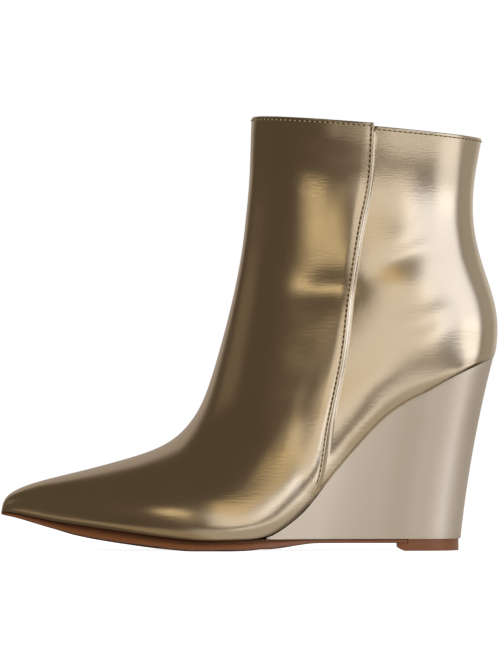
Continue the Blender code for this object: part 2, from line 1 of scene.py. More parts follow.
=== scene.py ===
"""The looks of the heeled ankle boot, on the frame that the CAD part gives.

The upper's skin follows the same last as the CAD part, in a finer grid, so that its metallic coating
reflects smoothly. The toe points to -X, the outer side of the foot to -Y, and the floor is at z = 0.
"""

import math
from functools import lru_cache

import bmesh
import bpy
import numpy as np
from bpy.props import FloatProperty, FloatVectorProperty, IntProperty, PointerProperty, StringProperty
from mathutils import Matrix, Vector


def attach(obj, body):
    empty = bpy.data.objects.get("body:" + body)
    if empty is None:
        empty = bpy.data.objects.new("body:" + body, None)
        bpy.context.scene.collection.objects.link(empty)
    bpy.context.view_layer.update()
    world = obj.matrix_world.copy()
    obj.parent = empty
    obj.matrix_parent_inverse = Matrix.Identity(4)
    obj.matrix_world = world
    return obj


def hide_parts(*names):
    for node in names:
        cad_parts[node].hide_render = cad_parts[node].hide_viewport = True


bl_info = {
    "name": "Heeled ankle boot",
    "version": (1, 0, 0),
    "blender": (4, 5, 0),
    "location": "View3D > Sidebar > Boot",
    "description": "Dresses the frame of a heeled ankle boot with its pieces and materials",
    "category": "Object",
}

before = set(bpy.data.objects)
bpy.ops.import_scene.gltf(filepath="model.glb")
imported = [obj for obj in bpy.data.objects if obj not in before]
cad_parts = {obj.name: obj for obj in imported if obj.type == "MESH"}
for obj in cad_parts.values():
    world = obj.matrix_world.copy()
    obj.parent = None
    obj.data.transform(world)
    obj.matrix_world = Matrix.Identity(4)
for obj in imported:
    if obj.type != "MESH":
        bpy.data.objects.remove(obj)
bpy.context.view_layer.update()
BODY = "root"

# Sizes of the last and the boot in metres, as in the CAD part
LENGTH = 0.242
BALL_WIDTH = 0.0714
SEAT_RISE = 0.0893
TOE_SPRING = 0.0143
INSTEP_RISE = 0.056
SHAFT_HEIGHT = 0.1063
COLLAR_WIDTH = 0.0568
TOE_OVERHANG = 0.0004
HEEL_OVERHANG = 0.0022
INNER_SHIFT = 0.0012
UPPER_WALL = 0.0018
SEAM_LAP = 0.0007
SEAM_FADE = 0.018
COLLAR_STEP = 0.0017
LASTING_MARGIN = 0.0065
SOLE_AT_BALL = 0.0045
SOLE_LEDGE = 0.0003
WEDGE_BASE = 0.0061
WEDGE_INSET = 0.0004
WEDGE_LEAN = 0.0158
WEDGE_HOLLOW = 0.0017
WEDGE_TIP = 0.0006
SHANK_SOLE = 0.0017
LIFT_LENGTH = 0.0308
LIFT_LAP = 0.0044
CLEARANCE = 0.0003
MARGIN_AHEAD = 0.006

# Shares, as in the CAD part. The wedge narrows by WEDGE_TAPER of its width down to its base, which
# comes in over TAPER_RUN of its run. The lasting margin takes up MARGIN_SHARE of the sole's half
# width at the toe. The rest are shares of LENGTH: how far ahead of the wedge the sole's top levels
# out, and where the sole starts to thin and has thinned
WEDGE_TAPER = 0.09
TAPER_RUN = 0.35
MARGIN_SHARE = 0.45
BALL_TO_WEDGE = 0.05
SHANK_START = 0.53
SHANK_FULL = 0.64

# The wedge's cover starts ahead of the CAD wedge's tip: height of its tip over the wedge's base
COVER_TIP = -0.00004

# Samples along curves, steps and columns of the grids, passes that smooth them, and steps round the
# sole's lower edge. Vertices nearer than SAME_PLACE, in metres, are merged
CURVE_SAMPLES = 400
SECTION_SAMPLES = 120
STEPS_PER_SECTION = 8
FRONT_COLUMNS = 50
BACK_COLUMNS = 40
SMOOTH_PASSES = 16
CORNER_STEPS = 4
SAME_PLACE = 1e-6

# Height of the feather line. along: share of LENGTH; spring: share of TOE_SPRING; heel: share of
# SEAT_RISE
FEATHER_HEIGHT = (
    (0.000, 1.000, 0.000),
    (0.036, 0.911, 0.000),
    (0.100, 0.683, 0.000),
    (0.161, 0.523, 0.000),
    (0.251, 0.302, 0.000),
    (0.331, 0.115, 0.000),
    (0.414, 0.000, 0.000),
    (0.462, 0.000, 0.003),
    (0.522, 0.000, 0.016),
    (0.545, 0.000, 0.036),
    (0.576, 0.000, 0.089),
    (0.612, 0.000, 0.174),
    (0.663, 0.000, 0.351),
    (0.707, 0.000, 0.492),
    (0.771, 0.000, 0.677),
    (0.815, 0.000, 0.758),
    (0.859, 0.000, 0.819),
    (0.902, 0.000, 0.884),
    (0.991, 0.000, 1.000),
)

# Plan of the feather line. run: share of its length; outer and inner: shares of BALL_WIDTH
FEATHER_PLAN = (
    (0.00, -0.042, 0.042),
    (0.02, 0.036, 0.120),
    (0.05, 0.083, 0.164),
    (0.10, 0.154, 0.227),
    (0.20, 0.303, 0.347),
    (0.30, 0.426, 0.429),
    (0.40, 0.501, 0.479),
    (0.48, 0.514, 0.485),
    (0.55, 0.482, 0.423),
    (0.62, 0.423, 0.342),
    (0.70, 0.373, 0.300),
    (0.80, 0.347, 0.311),
    (0.88, 0.341, 0.334),
    (0.94, 0.314, 0.311),
    (0.97, 0.244, 0.242),
    (1.00, 0.000, 0.000),
)

# Sections over the foot. run: share of the feather line where the section starts; front: share of
# LENGTH where it meets the ridge; rise: share of INSTEP_RISE from its start up to the ridge; ridge,
# outer and inner: sideways places of the ridge and the widest points, as shares of BALL_WIDTH;
# belly: height of the widest points; crown and tuck: fullness above and below them
FOOT_SECTIONS = (
    (0.012, 0.001, 0.009, 0.042, 0.018, 0.102, 0.00, 2.00, 2.00),
    (0.043, 0.010, 0.168, 0.042, 0.084, 0.168, 0.30, 2.10, 2.00),
    (0.110, 0.064, 0.337, 0.042, 0.185, 0.258, 0.28, 2.10, 2.60),
    (0.211, 0.161, 0.503, 0.042, 0.347, 0.389, 0.27, 2.05, 2.80),
    (0.313, 0.255, 0.675, 0.045, 0.476, 0.476, 0.26, 2.00, 3.00),
    (0.404, 0.315, 0.802, 0.050, 0.546, 0.524, 0.25, 1.95, 3.00),
    (0.485, 0.357, 0.907, 0.056, 0.560, 0.527, 0.25, 1.90, 3.00),
    (0.560, 0.390, 1.000, 0.059, 0.532, 0.490, 0.27, 1.85, 3.00),
    (0.627, 0.412, 0.946, 0.053, 0.487, 0.441, 0.31, 1.85, 3.00),
    (0.709, 0.433, 0.789, 0.042, 0.443, 0.415, 0.34, 1.90, 3.00),
    (0.810, 0.454, 0.707, 0.031, 0.420, 0.406, 0.37, 1.95, 2.90),
    (0.912, 0.472, 0.802, 0.020, 0.415, 0.406, 0.38, 2.00, 2.60),
    (1.000, 0.485, 0.932, 0.011, 0.412, 0.406, 0.42, 2.00, 2.40),
)

# Sections of the shaft, with the same columns, except that up is the share of SHAFT_HEIGHT where the
# section leaves the back curve, and ridge, outer and inner are shares of COLLAR_WIDTH
SHAFT_SECTIONS = (
    (0.149, 0.4916, 0.894, 0.009, 0.514, 0.507, 0.45, 2.00, 2.35),
    (0.368, 0.4985, 0.772, 0.005, 0.493, 0.486, 0.47, 2.05, 2.30),
    (0.574, 0.5010, 0.607, 0.002, 0.479, 0.472, 0.48, 2.10, 2.20),
    (0.803, 0.5024, 0.373, 0.000, 0.486, 0.479, 0.49, 2.10, 2.20),
    (1.000, 0.5040, 0.185, 0.000, 0.504, 0.496, 0.50, 2.10, 2.20),
)

# Back curve of the shaft. up: share of SHAFT_HEIGHT; back: share of LENGTH behind the seat's edge
BACK_CURVE = (
    (0.00, 0.0000),
    (0.06, 0.0080),
    (0.12, 0.0096),
    (0.18, 0.0088),
    (0.30, -0.0040),
    (0.43, -0.0235),
    (0.57, -0.0380),
    (0.68, -0.0420),
    (0.80, -0.0390),
    (1.00, -0.0240),
)

# Side seam. up: share of the way from the feather line to the collar; along: share of LENGTH
SIDE_SEAM = (
    (0.000, 0.6205),
    (0.055, 0.6365),
    (0.205, 0.6576),
    (0.389, 0.6867),
    (0.555, 0.7018),
    (0.732, 0.7229),
    (0.845, 0.7400),
    (1.000, 0.7475),
)

# Thickness of the outsole up to the wedge. along: share of LENGTH; thick: share of SOLE_AT_BALL
SOLE_THICKNESS = (
    (0.00, 0.25),
    (0.05, 0.46),
    (0.11, 0.72),
    (0.15, 1.00),
    (0.25, 1.14),
    (0.35, 1.05),
    (0.41, 1.00),
    (0.52, 1.00),
)

# Soft dents (depth below zero) and swells of the upper, in millimetres and degrees: side of the foot,
# place along and up in side view, half-length, half-width, turn, depth
DENTS = (
    (-1, 38, 126, 16, 8, 8, -0.90),
    (-1, 36, 192, 20, 6, -8, 0.35),
    (-1, -4, 66, 16, 6, -50, -0.35),
    (-1, 77, 142, 19, 7, 20, -1.00),
    (-1, 86, 112, 20, 7, 25, -0.65),
    (-1, 56, 76, 22, 7, 42, 0.50),
    (-1, 12, 28, 20, 6, 42, 0.35),
    (1, 37, 128, 14, 6, 8, -0.50),
    (1, 40, 190, 18, 7, -10, -0.30),
    (1, -2, 70, 18, 7, -50, -0.35),
    (1, 70, 150, 16, 8, 60, -0.25),
)

# The roll of the upper over its feather edge: place along the foot, height of the roll's crest
# over the feather line, and how far the crest stands out, in millimetres
ROLL = (
    (-121, 1.2, 0.1),
    (-100, 2.2, 0.45),
    (-50, 3.2, 0.85),
    (-24, 3.8, 1.0),
    (-8, 4.5, 1.0),
    (6, 7.3, 1.0),
    (20, 9.5, 1.25),
    (32, 8.5, 1.1),
    (50, 7.0, 0.9),
    (70, 4.8, 0.6),
    (92, 3.8, 0.5),
    (121, 3.0, 0.35),
)
# The roll fades out over this many heights of its crest, and these powers shape it on both sides
ROLL_FADE = 3.5
ROLL_BELOW, ROLL_ABOVE = 1.7, 1.6

# The shaft's sides flare out by FLARE at the topline, from FLARE_START below it. The powers say how
# late the flare comes, and how closely it keeps to the parts that face sideways
FLARE_START, FLARE = 0.034, 0.0026
FLARE_LATE, FLARE_SIDEWAYS = 2, 4

# The panel's last row under the folded topline, and the least gap to the row below it, in radii
FOLD_DEPTH, FOLD_GAP = 1.6, 0.4

# Sizes of the materials' patterns in metres. The foil has clouds, soft rolls, a grain and fine brush
# marks; the sole has flow marks along its edge, and the sock an embossed pebble. The lining's ribs
# are about 0.8 mm apart, too fine to show, so they are drawn about 5 mm apart. The clouds go from
# one tone to the other between two values of their noise, and change the roughness by this much
CLOUD_SIZE = 0.04545
CLOUD_FROM, CLOUD_TO, CLOUD_ROUGHNESS = 0.3, 0.7, 0.03
ROLL_SIZE = 0.03
GRAIN_SIZE = 0.0005
BRUSH_LENGTH, BRUSH_HEIGHT = 0.005, 0.0008
FLOW_LENGTH, FLOW_HEIGHT, FLOW_DEPTH = 1 / 60, 1 / 900, 0.00003
PEBBLE_SIZE, PEBBLE_DEPTH = 0.001, 0.00008
RIB_SPACING, RIB_DEPTH = 0.00503, 0.00003

# Blender's wave texture has this many radians to one unit
WAVE_RADIANS = 20

# Where the colours of the sole's edge lie, from the ground up, and how far the flow marks shift them.
# The darkest band beside the ground is a painted shadow, and the darker band at the top is painted
# shade under the upper's overhang
SOLE_BANDS = (0.24, 0.36, 0.7, 0.95)
FLOW_SHIFT = 0.35

# The lamp overhead in metres and watts, and how strongly the table shines
LAMP_PLACE, LAMP_SIZE, LAMP_POWER = (0, -0.5, 1.4), (1.6, 1.2), 14.0
TABLE_GLOW = 0.9

# The dim room, and the soft patches of light in it: azimuth from and to, elevation from and to,
# softness of their edges in both, all in degrees, colour and strength. Azimuth 0 is towards the
# front camera, 90 towards the heel's side; elevation 0 is the horizon
ROOM_COLOUR = "#5F5346"
LIGHT_PATCHES = (
    (20, 77, 0, 34, 12, 7, "#E8EDFF", 1.55),
    (-7, 24, -7, 11, 6, 4, "#F4EFEB", 1.00),
    (12, 24, 12, 30, 8, 6, "#F4F2F4", 0.30),
    (-3, 9, 11, 23, 5, 5, "#EDD6A4", 1.00),
    (-32, -18, 1, 10, 6, 4, "#F3E0B8", 1.45),
    (4, 90, -25, -16, 10, 3, "#F4F5FF", 0.60),
    (46, 78, -18, 4, 10, 8, "#F4F5FF", 1.10),
    (-2, 50, -17, -3, 10, 4, "#EEE9E4", 0.14),
    (-20, 84, -88, -16, 14, 3, "#EDE6DC", 0.50),
    (-74, -20, -88, -27, 14, 6, "#E2CFAE", 0.30),
    (84, 180, -24, 34, 18, 12, "#F2EFEC", 0.38),
    (-180, -134, -14, 50, 16, 14, "#F0E4DE", 0.38),
    (132, 172, -6, 30, 8, 6, "#F2EFEC", 0.25),
    (-106, -74, 8, 30, 12, 8, "#D9C7A8", 0.13),
)

FOOT = np.array(FOOT_SECTIONS)
SHAFT = np.array(SHAFT_SECTIONS)
SEAT_ROW = len(FOOT) - 1
LAST_ROW = len(FOOT) + len(SHAFT) - 1
TOE_X = TOE_OVERHANG - LENGTH / 2
SEAT_X = LENGTH / 2 - HEEL_OVERHANG
OUTER = -1
INNER = 1
SIDES = (OUTER, INNER)


def smooth(value):
    """An S curve from 0 to 1."""
    value = np.clip(value, 0, 1)
    return value * value * (3 - 2 * value)


def unturned(place):
    """Leaves a table's places as they are."""
    return place


@lru_cache
def knots(rows, column, turn):
    """Places, values and slopes of a table's column, with slopes that never overshoot."""
    table = np.array(rows)
    places = turn(table[:, 0])
    heights = table[:, column]
    rises = np.diff(heights) / np.diff(places)
    slopes = np.concatenate([rises[:1], (rises[1:] + rises[:-1]) / 2, rises[-1:]])
    for index in range(1, len(slopes) - 1):
        before, after = rises[index - 1], rises[index]
        steepest = 3 * min(abs(before), abs(after))
        flat = before * after <= 0
        slopes[index] = 0 if flat else np.clip(slopes[index], -steepest, steepest)
    return places, heights, slopes


def monotone(rows, column, value, turn=unturned):
    """Reads a table's column with a curve that never overshoots its rows."""
    places, heights, slopes = knots(rows, column, turn)
    at = np.clip(turn(np.asarray(value, float)), places[0], places[-1])
    span = np.clip(np.searchsorted(places, at) - 1, 0, len(places) - 2)
    gap = places[span + 1] - places[span]
    share = (at - places[span]) / gap
    start = slopes[span] * gap * share * (1 - share) ** 2
    end = -slopes[span + 1] * gap * share**2 * (1 - share)
    blend = smooth(share)
    return heights[span] * (1 - blend) + heights[span + 1] * blend + start + end


def spline(values, place):
    """A smooth curve through values at 0, 1, 2 and so on."""
    values = np.concatenate([[2 * values[0] - values[1]], values, [2 * values[-1] - values[-2]]])
    span = np.clip(np.floor(place).astype(int), 0, len(values) - 4)
    share = place - span
    a, b, c, d = (values[span + step] for step in range(4))
    curve = 2 * a - 5 * b + 4 * c - d
    cubic = 3 * b - a - 3 * c + d
    return b + 0.5 * share * (c - a + share * (curve + share * cubic))


def round_ends(share):
    """Turns a share of a rounded outline into an angle, so that its ends stay round."""
    return np.arccos(1 - 2 * np.clip(share, 0, 1))


def feather_height(x):
    """Height of the feather line, where upper and sole meet, over the floor."""
    along = x / LENGTH + 0.5
    spring = monotone(FEATHER_HEIGHT, 1, along)
    heel = monotone(FEATHER_HEIGHT, 2, along)
    return SOLE_AT_BALL + spring * TOE_SPRING + heel * SEAT_RISE


def feather_side(x, side):
    """Sideways place of the feather line on the outer or the inner side."""
    run = (x - TOE_X) / (SEAT_X - TOE_X)
    column = 1 if side == OUTER else 2
    return INNER_SHIFT + side * BALL_WIDTH * monotone(FEATHER_PLAN, column, run, round_ends)


def parallel_height(x, distance):
    """Height of a line that runs beside the feather line's side view, at a distance square to it."""
    step = LENGTH / 2000
    slope = (feather_height(x + step) - feather_height(x - step)) / (2 * step)
    return feather_height(x) + distance * np.sqrt(1 + slope**2)


@lru_cache
def moved_plan(side, inset):
    """One side of the feather line's plan, moved inwards: places along the foot and sideways."""
    angle = np.linspace(0, np.pi, CURVE_SAMPLES)
    x = TOE_X + (SEAT_X - TOE_X) * (1 - np.cos(angle)) / 2
    y = feather_side(x, side)
    along = np.gradient(x, angle)
    across = np.gradient(y, angle)
    along[[0, -1]] = 0
    size = np.hypot(along, across)
    moved_x = x + side * inset * across / size
    moved_y = y - side * inset * along / size
    return np.maximum.accumulate(moved_x), moved_y


def base_point(row):
    """Where a section starts: on the feather line, or above the seat on the back curve."""
    angle = spline(round_ends(FOOT[:, 0]), np.minimum(row, SEAT_ROW))
    run = (1 - np.cos(np.clip(angle, 0, np.pi))) / 2
    on_sole = TOE_X + (SEAT_X - TOE_X) * run
    ups = np.concatenate([[0], SHAFT[:, 0]])
    up = spline(ups, np.clip(row - SEAT_ROW, 0, len(SHAFT)))
    on_back = SEAT_X + LENGTH * monotone(BACK_CURVE, 1, up)
    if row <= SEAT_ROW:
        return np.array([on_sole, feather_height(on_sole)])
    return np.array([on_back, feather_height(SEAT_X) + up * SHAFT_HEIGHT])


def column_sizes(column):
    """A width column of both section tables, in metres."""
    return np.concatenate([FOOT[:, column] * BALL_WIDTH, SHAFT[:, column] * COLLAR_WIDTH])


@lru_cache
def ridge_heights():
    """Height of the front ridge at each row of the two section tables."""
    rises = np.concatenate([FOOT[:, 2], SHAFT[:, 2]]) * INSTEP_RISE
    return np.array([base_point(row)[1] for row in range(LAST_ROW + 1)]) + rises


def ridge_point(row):
    """Where a section meets the front ridge, in side view."""
    fronts = np.concatenate([FOOT[:, 1], SHAFT[:, 1]])
    return np.array([(spline(fronts, row) - 0.5) * LENGTH, spline(ridge_heights(), row)])


def run_along(line):
    """Distance of each point of a line from its first one."""
    steps = np.linalg.norm(np.diff(line, axis=0), axis=1)
    return np.concatenate([[0], np.cumsum(steps)])


def read_line(line, run, place):
    """The point or points of a line at a place on its run."""
    return np.stack([np.interp(place, run, line[:, axis]) for axis in range(3)], axis=-1)


def half_outlines(row):
    """A section's half outlines from the ridge down to the base: {side: (levels, sideways)}."""
    base = base_point(row)
    shape = np.concatenate([FOOT[:, 6:], SHAFT[:, 6:]])
    belly, crown, tuck = (spline(shape[:, index], row) for index in range(3))
    top_y = INNER_SHIFT + spline(column_sizes(3), row)
    feet = {OUTER: INNER_SHIFT, INNER: INNER_SHIFT}
    if row < SEAT_ROW:
        feet = {side: feather_side(base[0], side) for side in SIDES}
    centre = (feet[OUTER] + feet[INNER]) / 2
    quarter = np.linspace(0, np.pi / 2, SECTION_SAMPLES)
    halves = {}
    for side, column in ((OUTER, 4), (INNER, 5)):
        half_foot = side * (feet[side] - centre)
        half_wide = side * (INNER_SHIFT - centre) + spline(column_sizes(column), row)
        half_wide = half_foot if row == 0 else max(half_wide, half_foot)
        wide_y = centre + side * half_wide
        up = belly + (1 - belly) * np.cos(quarter) ** (2 / crown)
        out = top_y + (wide_y - top_y) * np.sin(quarter) ** (2 / crown)
        turn = quarter[1:] / quarter[-1] * np.arccos((half_foot / half_wide) ** (tuck / 2))
        depth = np.sin(turn) ** (2 / tuck)
        down = belly * (1 - depth / max(depth[-1], 1e-9))
        back = centre + side * half_wide * np.cos(turn) ** (2 / tuck)
        halves[side] = (np.concatenate([up, down]), np.concatenate([out, back]))
    return halves


def blurred(points, passes, axis=0):
    """Points averaged with their neighbours along an axis, with both ends held."""
    points = np.moveaxis(np.array(points), axis, 0)
    for _ in range(passes):
        points[1:-1] = (points[:-2] + 2 * points[1:-1] + points[2:]) / 4
    return np.moveaxis(points, 0, axis)


class Last:
    """The last's surface as a fine grid of sections, read by row and by share of the half outline."""

    def __init__(self):
        self.rows = np.linspace(0, LAST_ROW, LAST_ROW * STEPS_PER_SECTION + 1)
        self.bases = np.array([base_point(row) for row in self.rows])
        self.lines = np.array([ridge_point(row) for row in self.rows]) - self.bases
        self.shares = np.linspace(0, 1, SECTION_SAMPLES)
        surface = {side: [] for side in SIDES}
        self.widths = {side: [] for side in SIDES}
        for row, base, line in zip(self.rows, self.bases, self.lines):
            for side, (levels, y) in half_outlines(row).items():
                steps = np.hypot(np.diff(levels) * np.hypot(*line), np.diff(y))
                girth = np.concatenate([[0], np.cumsum(steps)])
                level = np.interp(self.shares * girth[-1], girth, levels)
                sideways = np.interp(self.shares * girth[-1], girth, y)
                x, z = base[:, None] + line[:, None] * level
                surface[side].append(np.stack([x, sideways, z], axis=1))
                self.widths[side].append(np.interp(-(self.shares**2), -levels, y))
        self.surface = {side: blurred(surface[side], SMOOTH_PASSES) for side in SIDES}
        self.widths = {side: np.array(self.widths[side]) for side in SIDES}

    def at(self, index, side, share):
        """Points of one row at shares of the half outline."""
        return read_line(self.surface[side][index], self.shares, share)

    def sides(self, x, z):
        """{side: y} of the surface at a point of the side view."""
        gap = np.array([x, z]) - self.bases
        turn = self.lines[:, 0] * gap[:, 1] - self.lines[:, 1] * gap[:, 0]
        crossings = np.nonzero(np.diff(np.sign(turn)))[0]
        inside = [k for k in crossings if gap[k] @ self.lines[k] > -1e-6]
        low, share = (inside[0], None) if inside else (len(self.rows) - 2, 1.0)
        if share is None:
            share = turn[low] / (turn[low] - turn[low + 1])
        base = self.bases[low] * (1 - share) + self.bases[low + 1] * share
        line = self.lines[low] * (1 - share) + self.lines[low + 1] * share
        level = np.clip((np.array([x, z]) - base) @ line / (line @ line), 0, 1)
        found = {}
        for side in SIDES:
            pair = [np.interp(math.sqrt(level), self.shares, self.widths[side][low + k]) for k in (0, 1)]
            found[side] = pair[0] * (1 - share) + pair[1] * share
        return found


def collar_height(x):
    """Height of the last section's straight line in side view."""
    base = base_point(LAST_ROW)
    ridge = ridge_point(LAST_ROW)
    return np.interp(x, [ridge[0], base[0]], [ridge[1], base[1]])


def seam_x(z):
    """Where the side seam's edge lies along the foot at a height."""
    foot = feather_height((SIDE_SEAM[0][1] - 0.5) * LENGTH)
    collar = collar_height((SIDE_SEAM[-1][1] - 0.5) * LENGTH)
    return (monotone(SIDE_SEAM, 1, (z - foot) / (collar - foot)) - 0.5) * LENGTH


def normals(points, outwards):
    """Unit normals of a grid of points, turned to the outward side."""
    along = np.gradient(points, axis=0)
    across = np.gradient(points, axis=1)
    square = np.cross(along, across)
    size = np.linalg.norm(square, axis=2, keepdims=True)
    square = square / np.maximum(size, 1e-12)
    return square * np.sign(np.sum(square * outwards, axis=2).sum())


def dent(points):
    """Moves points in or out by the soft dents and swells of the upper."""
    moved = points.copy()
    side = np.where(points[..., 1] < INNER_SHIFT, OUTER, INNER)
    for on, x, z, long, wide, turn, depth in DENTS:
        across = points[..., 0] - x / 1000
        up = points[..., 2] - z / 1000
        cos, sin = math.cos(math.radians(turn)), math.sin(math.radians(turn))
        u = (across * cos + up * sin) / (long / 1000)
        v = (up * cos - across * sin) / (wide / 1000)
        amount = depth / 1000 * np.exp(-(u**2 + v**2))
        moved[..., 1] += np.where(side == on, on * amount, 0)
    return moved


def roll(points):
    """How far the upper rolls out over its feather edge, for each point."""
    x = np.linspace(-0.5, 0.5, CURVE_SAMPLES) * LENGTH
    line = feather_height(x)
    tilt = np.cos(np.arctan(np.gradient(line, x)))
    along = points[..., 0]
    height = (points[..., 2] - np.interp(along, x, line)) * np.interp(along, x, tilt)
    places, crests, stands = np.array(ROLL).T / 1000
    crest = np.interp(along, places, crests)
    out = np.interp(along, places, stands)
    share = np.clip(height / crest, 0, None)
    below = 1 - np.clip(1 - share, 0, 1) ** ROLL_BELOW
    above = np.clip(1 - (share - 1) / ROLL_FADE, 0, 1) ** ROLL_ABOVE
    return out * np.where(share < 1, below, above)


def flare(points, square):
    """How far the shaft's sides flare out below the topline, for each point."""
    below = points[-1, :, 2] - points[..., 2]
    growth = np.clip(1 - below / FLARE_START, 0, 1) ** FLARE_LATE
    return FLARE * growth * square[..., 1] ** FLARE_SIDEWAYS


class Panels:
    """Grids of the upper's front and back panels, and the lines that its stitches follow.

    The front panel's lapped edge is rounded, its stitches pull a groove in it, and the lap grows
    from nothing over the first LAP_FOOT of a section. BESIDE_SEAM places the columns beside the seam,
    as shares of an even step from it."""

    EDGE_ROUND = 0.0009
    STITCH_GROOVE = 0.00028
    GROOVE_WIDTH = 0.0007
    LAP_FOOT = 0.4
    BESIDE_SEAM = (0.9, 0.8, 0.7, 0.62, 0.54, 0.46, 0.38, 0.3, 0.22, 0.14, 0.07, 0.02)

    def __init__(self, stitch_inset):
        last = Last()
        rows = last.rows
        foot_x = (SIDE_SEAM[0][1] - 0.5) * LENGTH
        self.first = int(np.argmin(np.abs(last.bases[: SEAT_ROW * STEPS_PER_SECTION, 0] - foot_x)))
        self.top = len(rows) - 1
        halves = {}
        for side in SIDES:
            grid = []
            for index in range(len(rows)):
                seam = self.seam_share(last, index, side)
                shares = seam * self.spread()
                grid.append(last.at(index, side, shares))
            halves[side] = np.array(grid)
        smooth_front = np.concatenate([halves[OUTER][:, ::-1], halves[INNER][:, 1:]], axis=1)
        away = self.distance_from_edges(smooth_front)
        middle = np.array([0, INNER_SHIFT, 0])
        square = normals(smooth_front, smooth_front - middle)
        self.seams = {OUTER: smooth_front[:, 0].copy(), INNER: smooth_front[:, -1].copy()}
        lap = SEAM_LAP * smooth(1 - away / SEAM_FADE)
        edge = np.clip(1 - away / self.EDGE_ROUND, 0, 1)
        lap = lap * np.sqrt(1 - edge**2)
        groove = self.STITCH_GROOVE * np.exp(-(((away - stitch_inset) / self.GROOVE_WIDTH) ** 2))
        at_foot = smooth((rows - rows[self.first]) / self.LAP_FOOT)[:, None]
        raised = (lap - groove) * at_foot + roll(smooth_front) + flare(smooth_front, square)
        self.front = dent(smooth_front) + square * raised[..., None]
        self.back = self.back_grid(last)
        for column in (0, -1):
            self.back[:, column] = self.front[self.first :, column]
        self.add_topline()

    @classmethod
    def spread(cls):
        """Shares of the panel's half, from the ridge to the seam, closer together beside the seam."""
        even = np.linspace(0, 1, FRONT_COLUMNS - len(cls.BESIDE_SEAM))
        close = 1 - (1 - even[-2]) * np.array(cls.BESIDE_SEAM)
        return np.concatenate([even[:-1], close, [1.0]])

    def seam_share(self, last, index, side):
        """Where the seam crosses one row, as a share of its half outline."""
        if index <= self.first:
            return 1.0
        row = last.surface[side][index]
        behind = row[:, 0] - seam_x(row[:, 2])
        cross = np.nonzero(behind > 0)[0]
        if not len(cross) or cross[0] == 0:
            return 1.0
        after = cross[0]
        share = behind[after - 1] / (behind[after - 1] - behind[after])
        return last.shares[after - 1] + share * (last.shares[after] - last.shares[after - 1])

    def distance_from_edges(self, grid):
        """Distance of each point from its panel's nearer edge, measured along its row."""
        steps = np.linalg.norm(np.diff(grid, axis=1), axis=2)
        run = np.concatenate([np.zeros((len(grid), 1)), np.cumsum(steps, axis=1)], axis=1)
        return np.minimum(run, run[:, -1:] - run)

    def add_topline(self):
        """Adds a last row to the front panel, which stands higher beside the seams."""
        share = np.abs(np.linspace(-1, 1, self.front.shape[1]))
        lift = COLLAR_STEP * (1 - (1 - share) ** 2)
        upwards = self.front[-1] - self.front[-2]
        upwards /= np.linalg.norm(upwards, axis=1, keepdims=True)
        self.front = np.concatenate([self.front, [self.front[-1] + upwards * lift[:, None]]])

    def back_grid(self, last):
        """The back panel from the outer seam over the back to the inner seam, one row per section."""
        shares = np.sin(np.linspace(0, np.pi / 2, BACK_COLUMNS + 1))
        start = self.seams[OUTER][self.first][[0, 2]]
        seat = np.array([SEAT_X, feather_height(SEAT_X)])
        tall = self.seams[OUTER][self.top][2] - start[1]
        grid = []
        for index in range(self.first, self.top + 1):
            seam = self.seams[OUTER][index][[0, 2]]
            up = (seam[1] - start[1]) / tall
            rear = seat + np.array([LENGTH * monotone(BACK_CURVE, 1, up), up * SHAFT_HEIGHT])
            ring = {side: [self.seams[side][index]] for side in SIDES}
            for share in shares[1:-1]:
                straight = start * (1 - share) + seat * share
                sole = np.array([straight[0], feather_height(straight[0])])
                x, z = seam * (1 - share) + rear * share + (sole - straight) * (1 - up)
                sides = last.sides(x, z)
                if index == self.first:
                    sides = {side: feather_side(x, side) for side in SIDES}
                for side in SIDES:
                    ring[side].append(np.array([x, sides[side], z]))
            middle = np.array([rear[0], INNER_SHIFT, rear[1]])
            grid.append(ring[OUTER] + [middle] + ring[INNER][::-1])
        grid = blurred(blurred(grid, SMOOTH_PASSES), SMOOTH_PASSES // 4, axis=1)
        for side, column in ((OUTER, 0), (INNER, -1)):
            grid[:, column] = self.seams[side][self.first :]
        square = normals(grid, grid - np.array([self.seams[OUTER][self.first, 0], INNER_SHIFT, 0]))
        return dent(grid) + square * (roll(grid) + flare(grid, square))[..., None]


@lru_cache
def panels(stitch_inset):
    """The upper's panels, worked out once and shared by the upper and its stitches."""
    return Panels(stitch_inset)


def new_piece(name, mesh):
    """Links a finished mesh as a piece of the boot."""
    piece = bpy.data.objects.new(name, mesh)
    bpy.context.scene.collection.objects.link(piece)
    return piece


def mesh_from(bm, name, material):
    """Turns a bmesh into a smooth-shaded mesh with one material."""
    mesh = bpy.data.meshes.new(name)
    bm.to_mesh(mesh)
    bm.free()
    mesh.shade_smooth()
    mesh.materials.append(material)
    return mesh


def add_grid(bm, points):
    """Adds a flat grid from the operator and lays it on the points. Returns its rows of vertices."""
    rows, columns = points.shape[:2]
    made = bmesh.ops.create_grid(bm, x_segments=columns - 1, y_segments=rows - 1, size=0.5)
    flat = sorted(made["verts"], key=lambda vertex: (round(vertex.co.y, 6), round(vertex.co.x, 6)))
    grid = [flat[start : start + columns] for start in range(0, len(flat), columns)]
    for ring, places in zip(grid, points):
        for vertex, place in zip(ring, places):
            vertex.co = place
    return grid


def turned_margin(edge):
    """Where each vertex of the feather edge goes when the lasting margin is turned in."""
    turned = []
    for index, vertex in enumerate(edge):
        before = edge[index - 1].co
        after = edge[(index + 1) % len(edge)].co
        inwards = Vector((after.y - before.y, before.x - after.x, 0)).normalized()
        ahead = min(vertex.co.x + MARGIN_AHEAD, SEAT_X)
        half = (feather_side(ahead, INNER) - feather_side(ahead, OUTER)) / 2
        in_toe = vertex.co.x < 0
        width = min(LASTING_MARGIN, float(MARGIN_SHARE * half)) if in_toe else LASTING_MARGIN
        x, y, _ = vertex.co + width * inwards
        turned.append(Vector((x, y, feather_height(x))))
    return turned


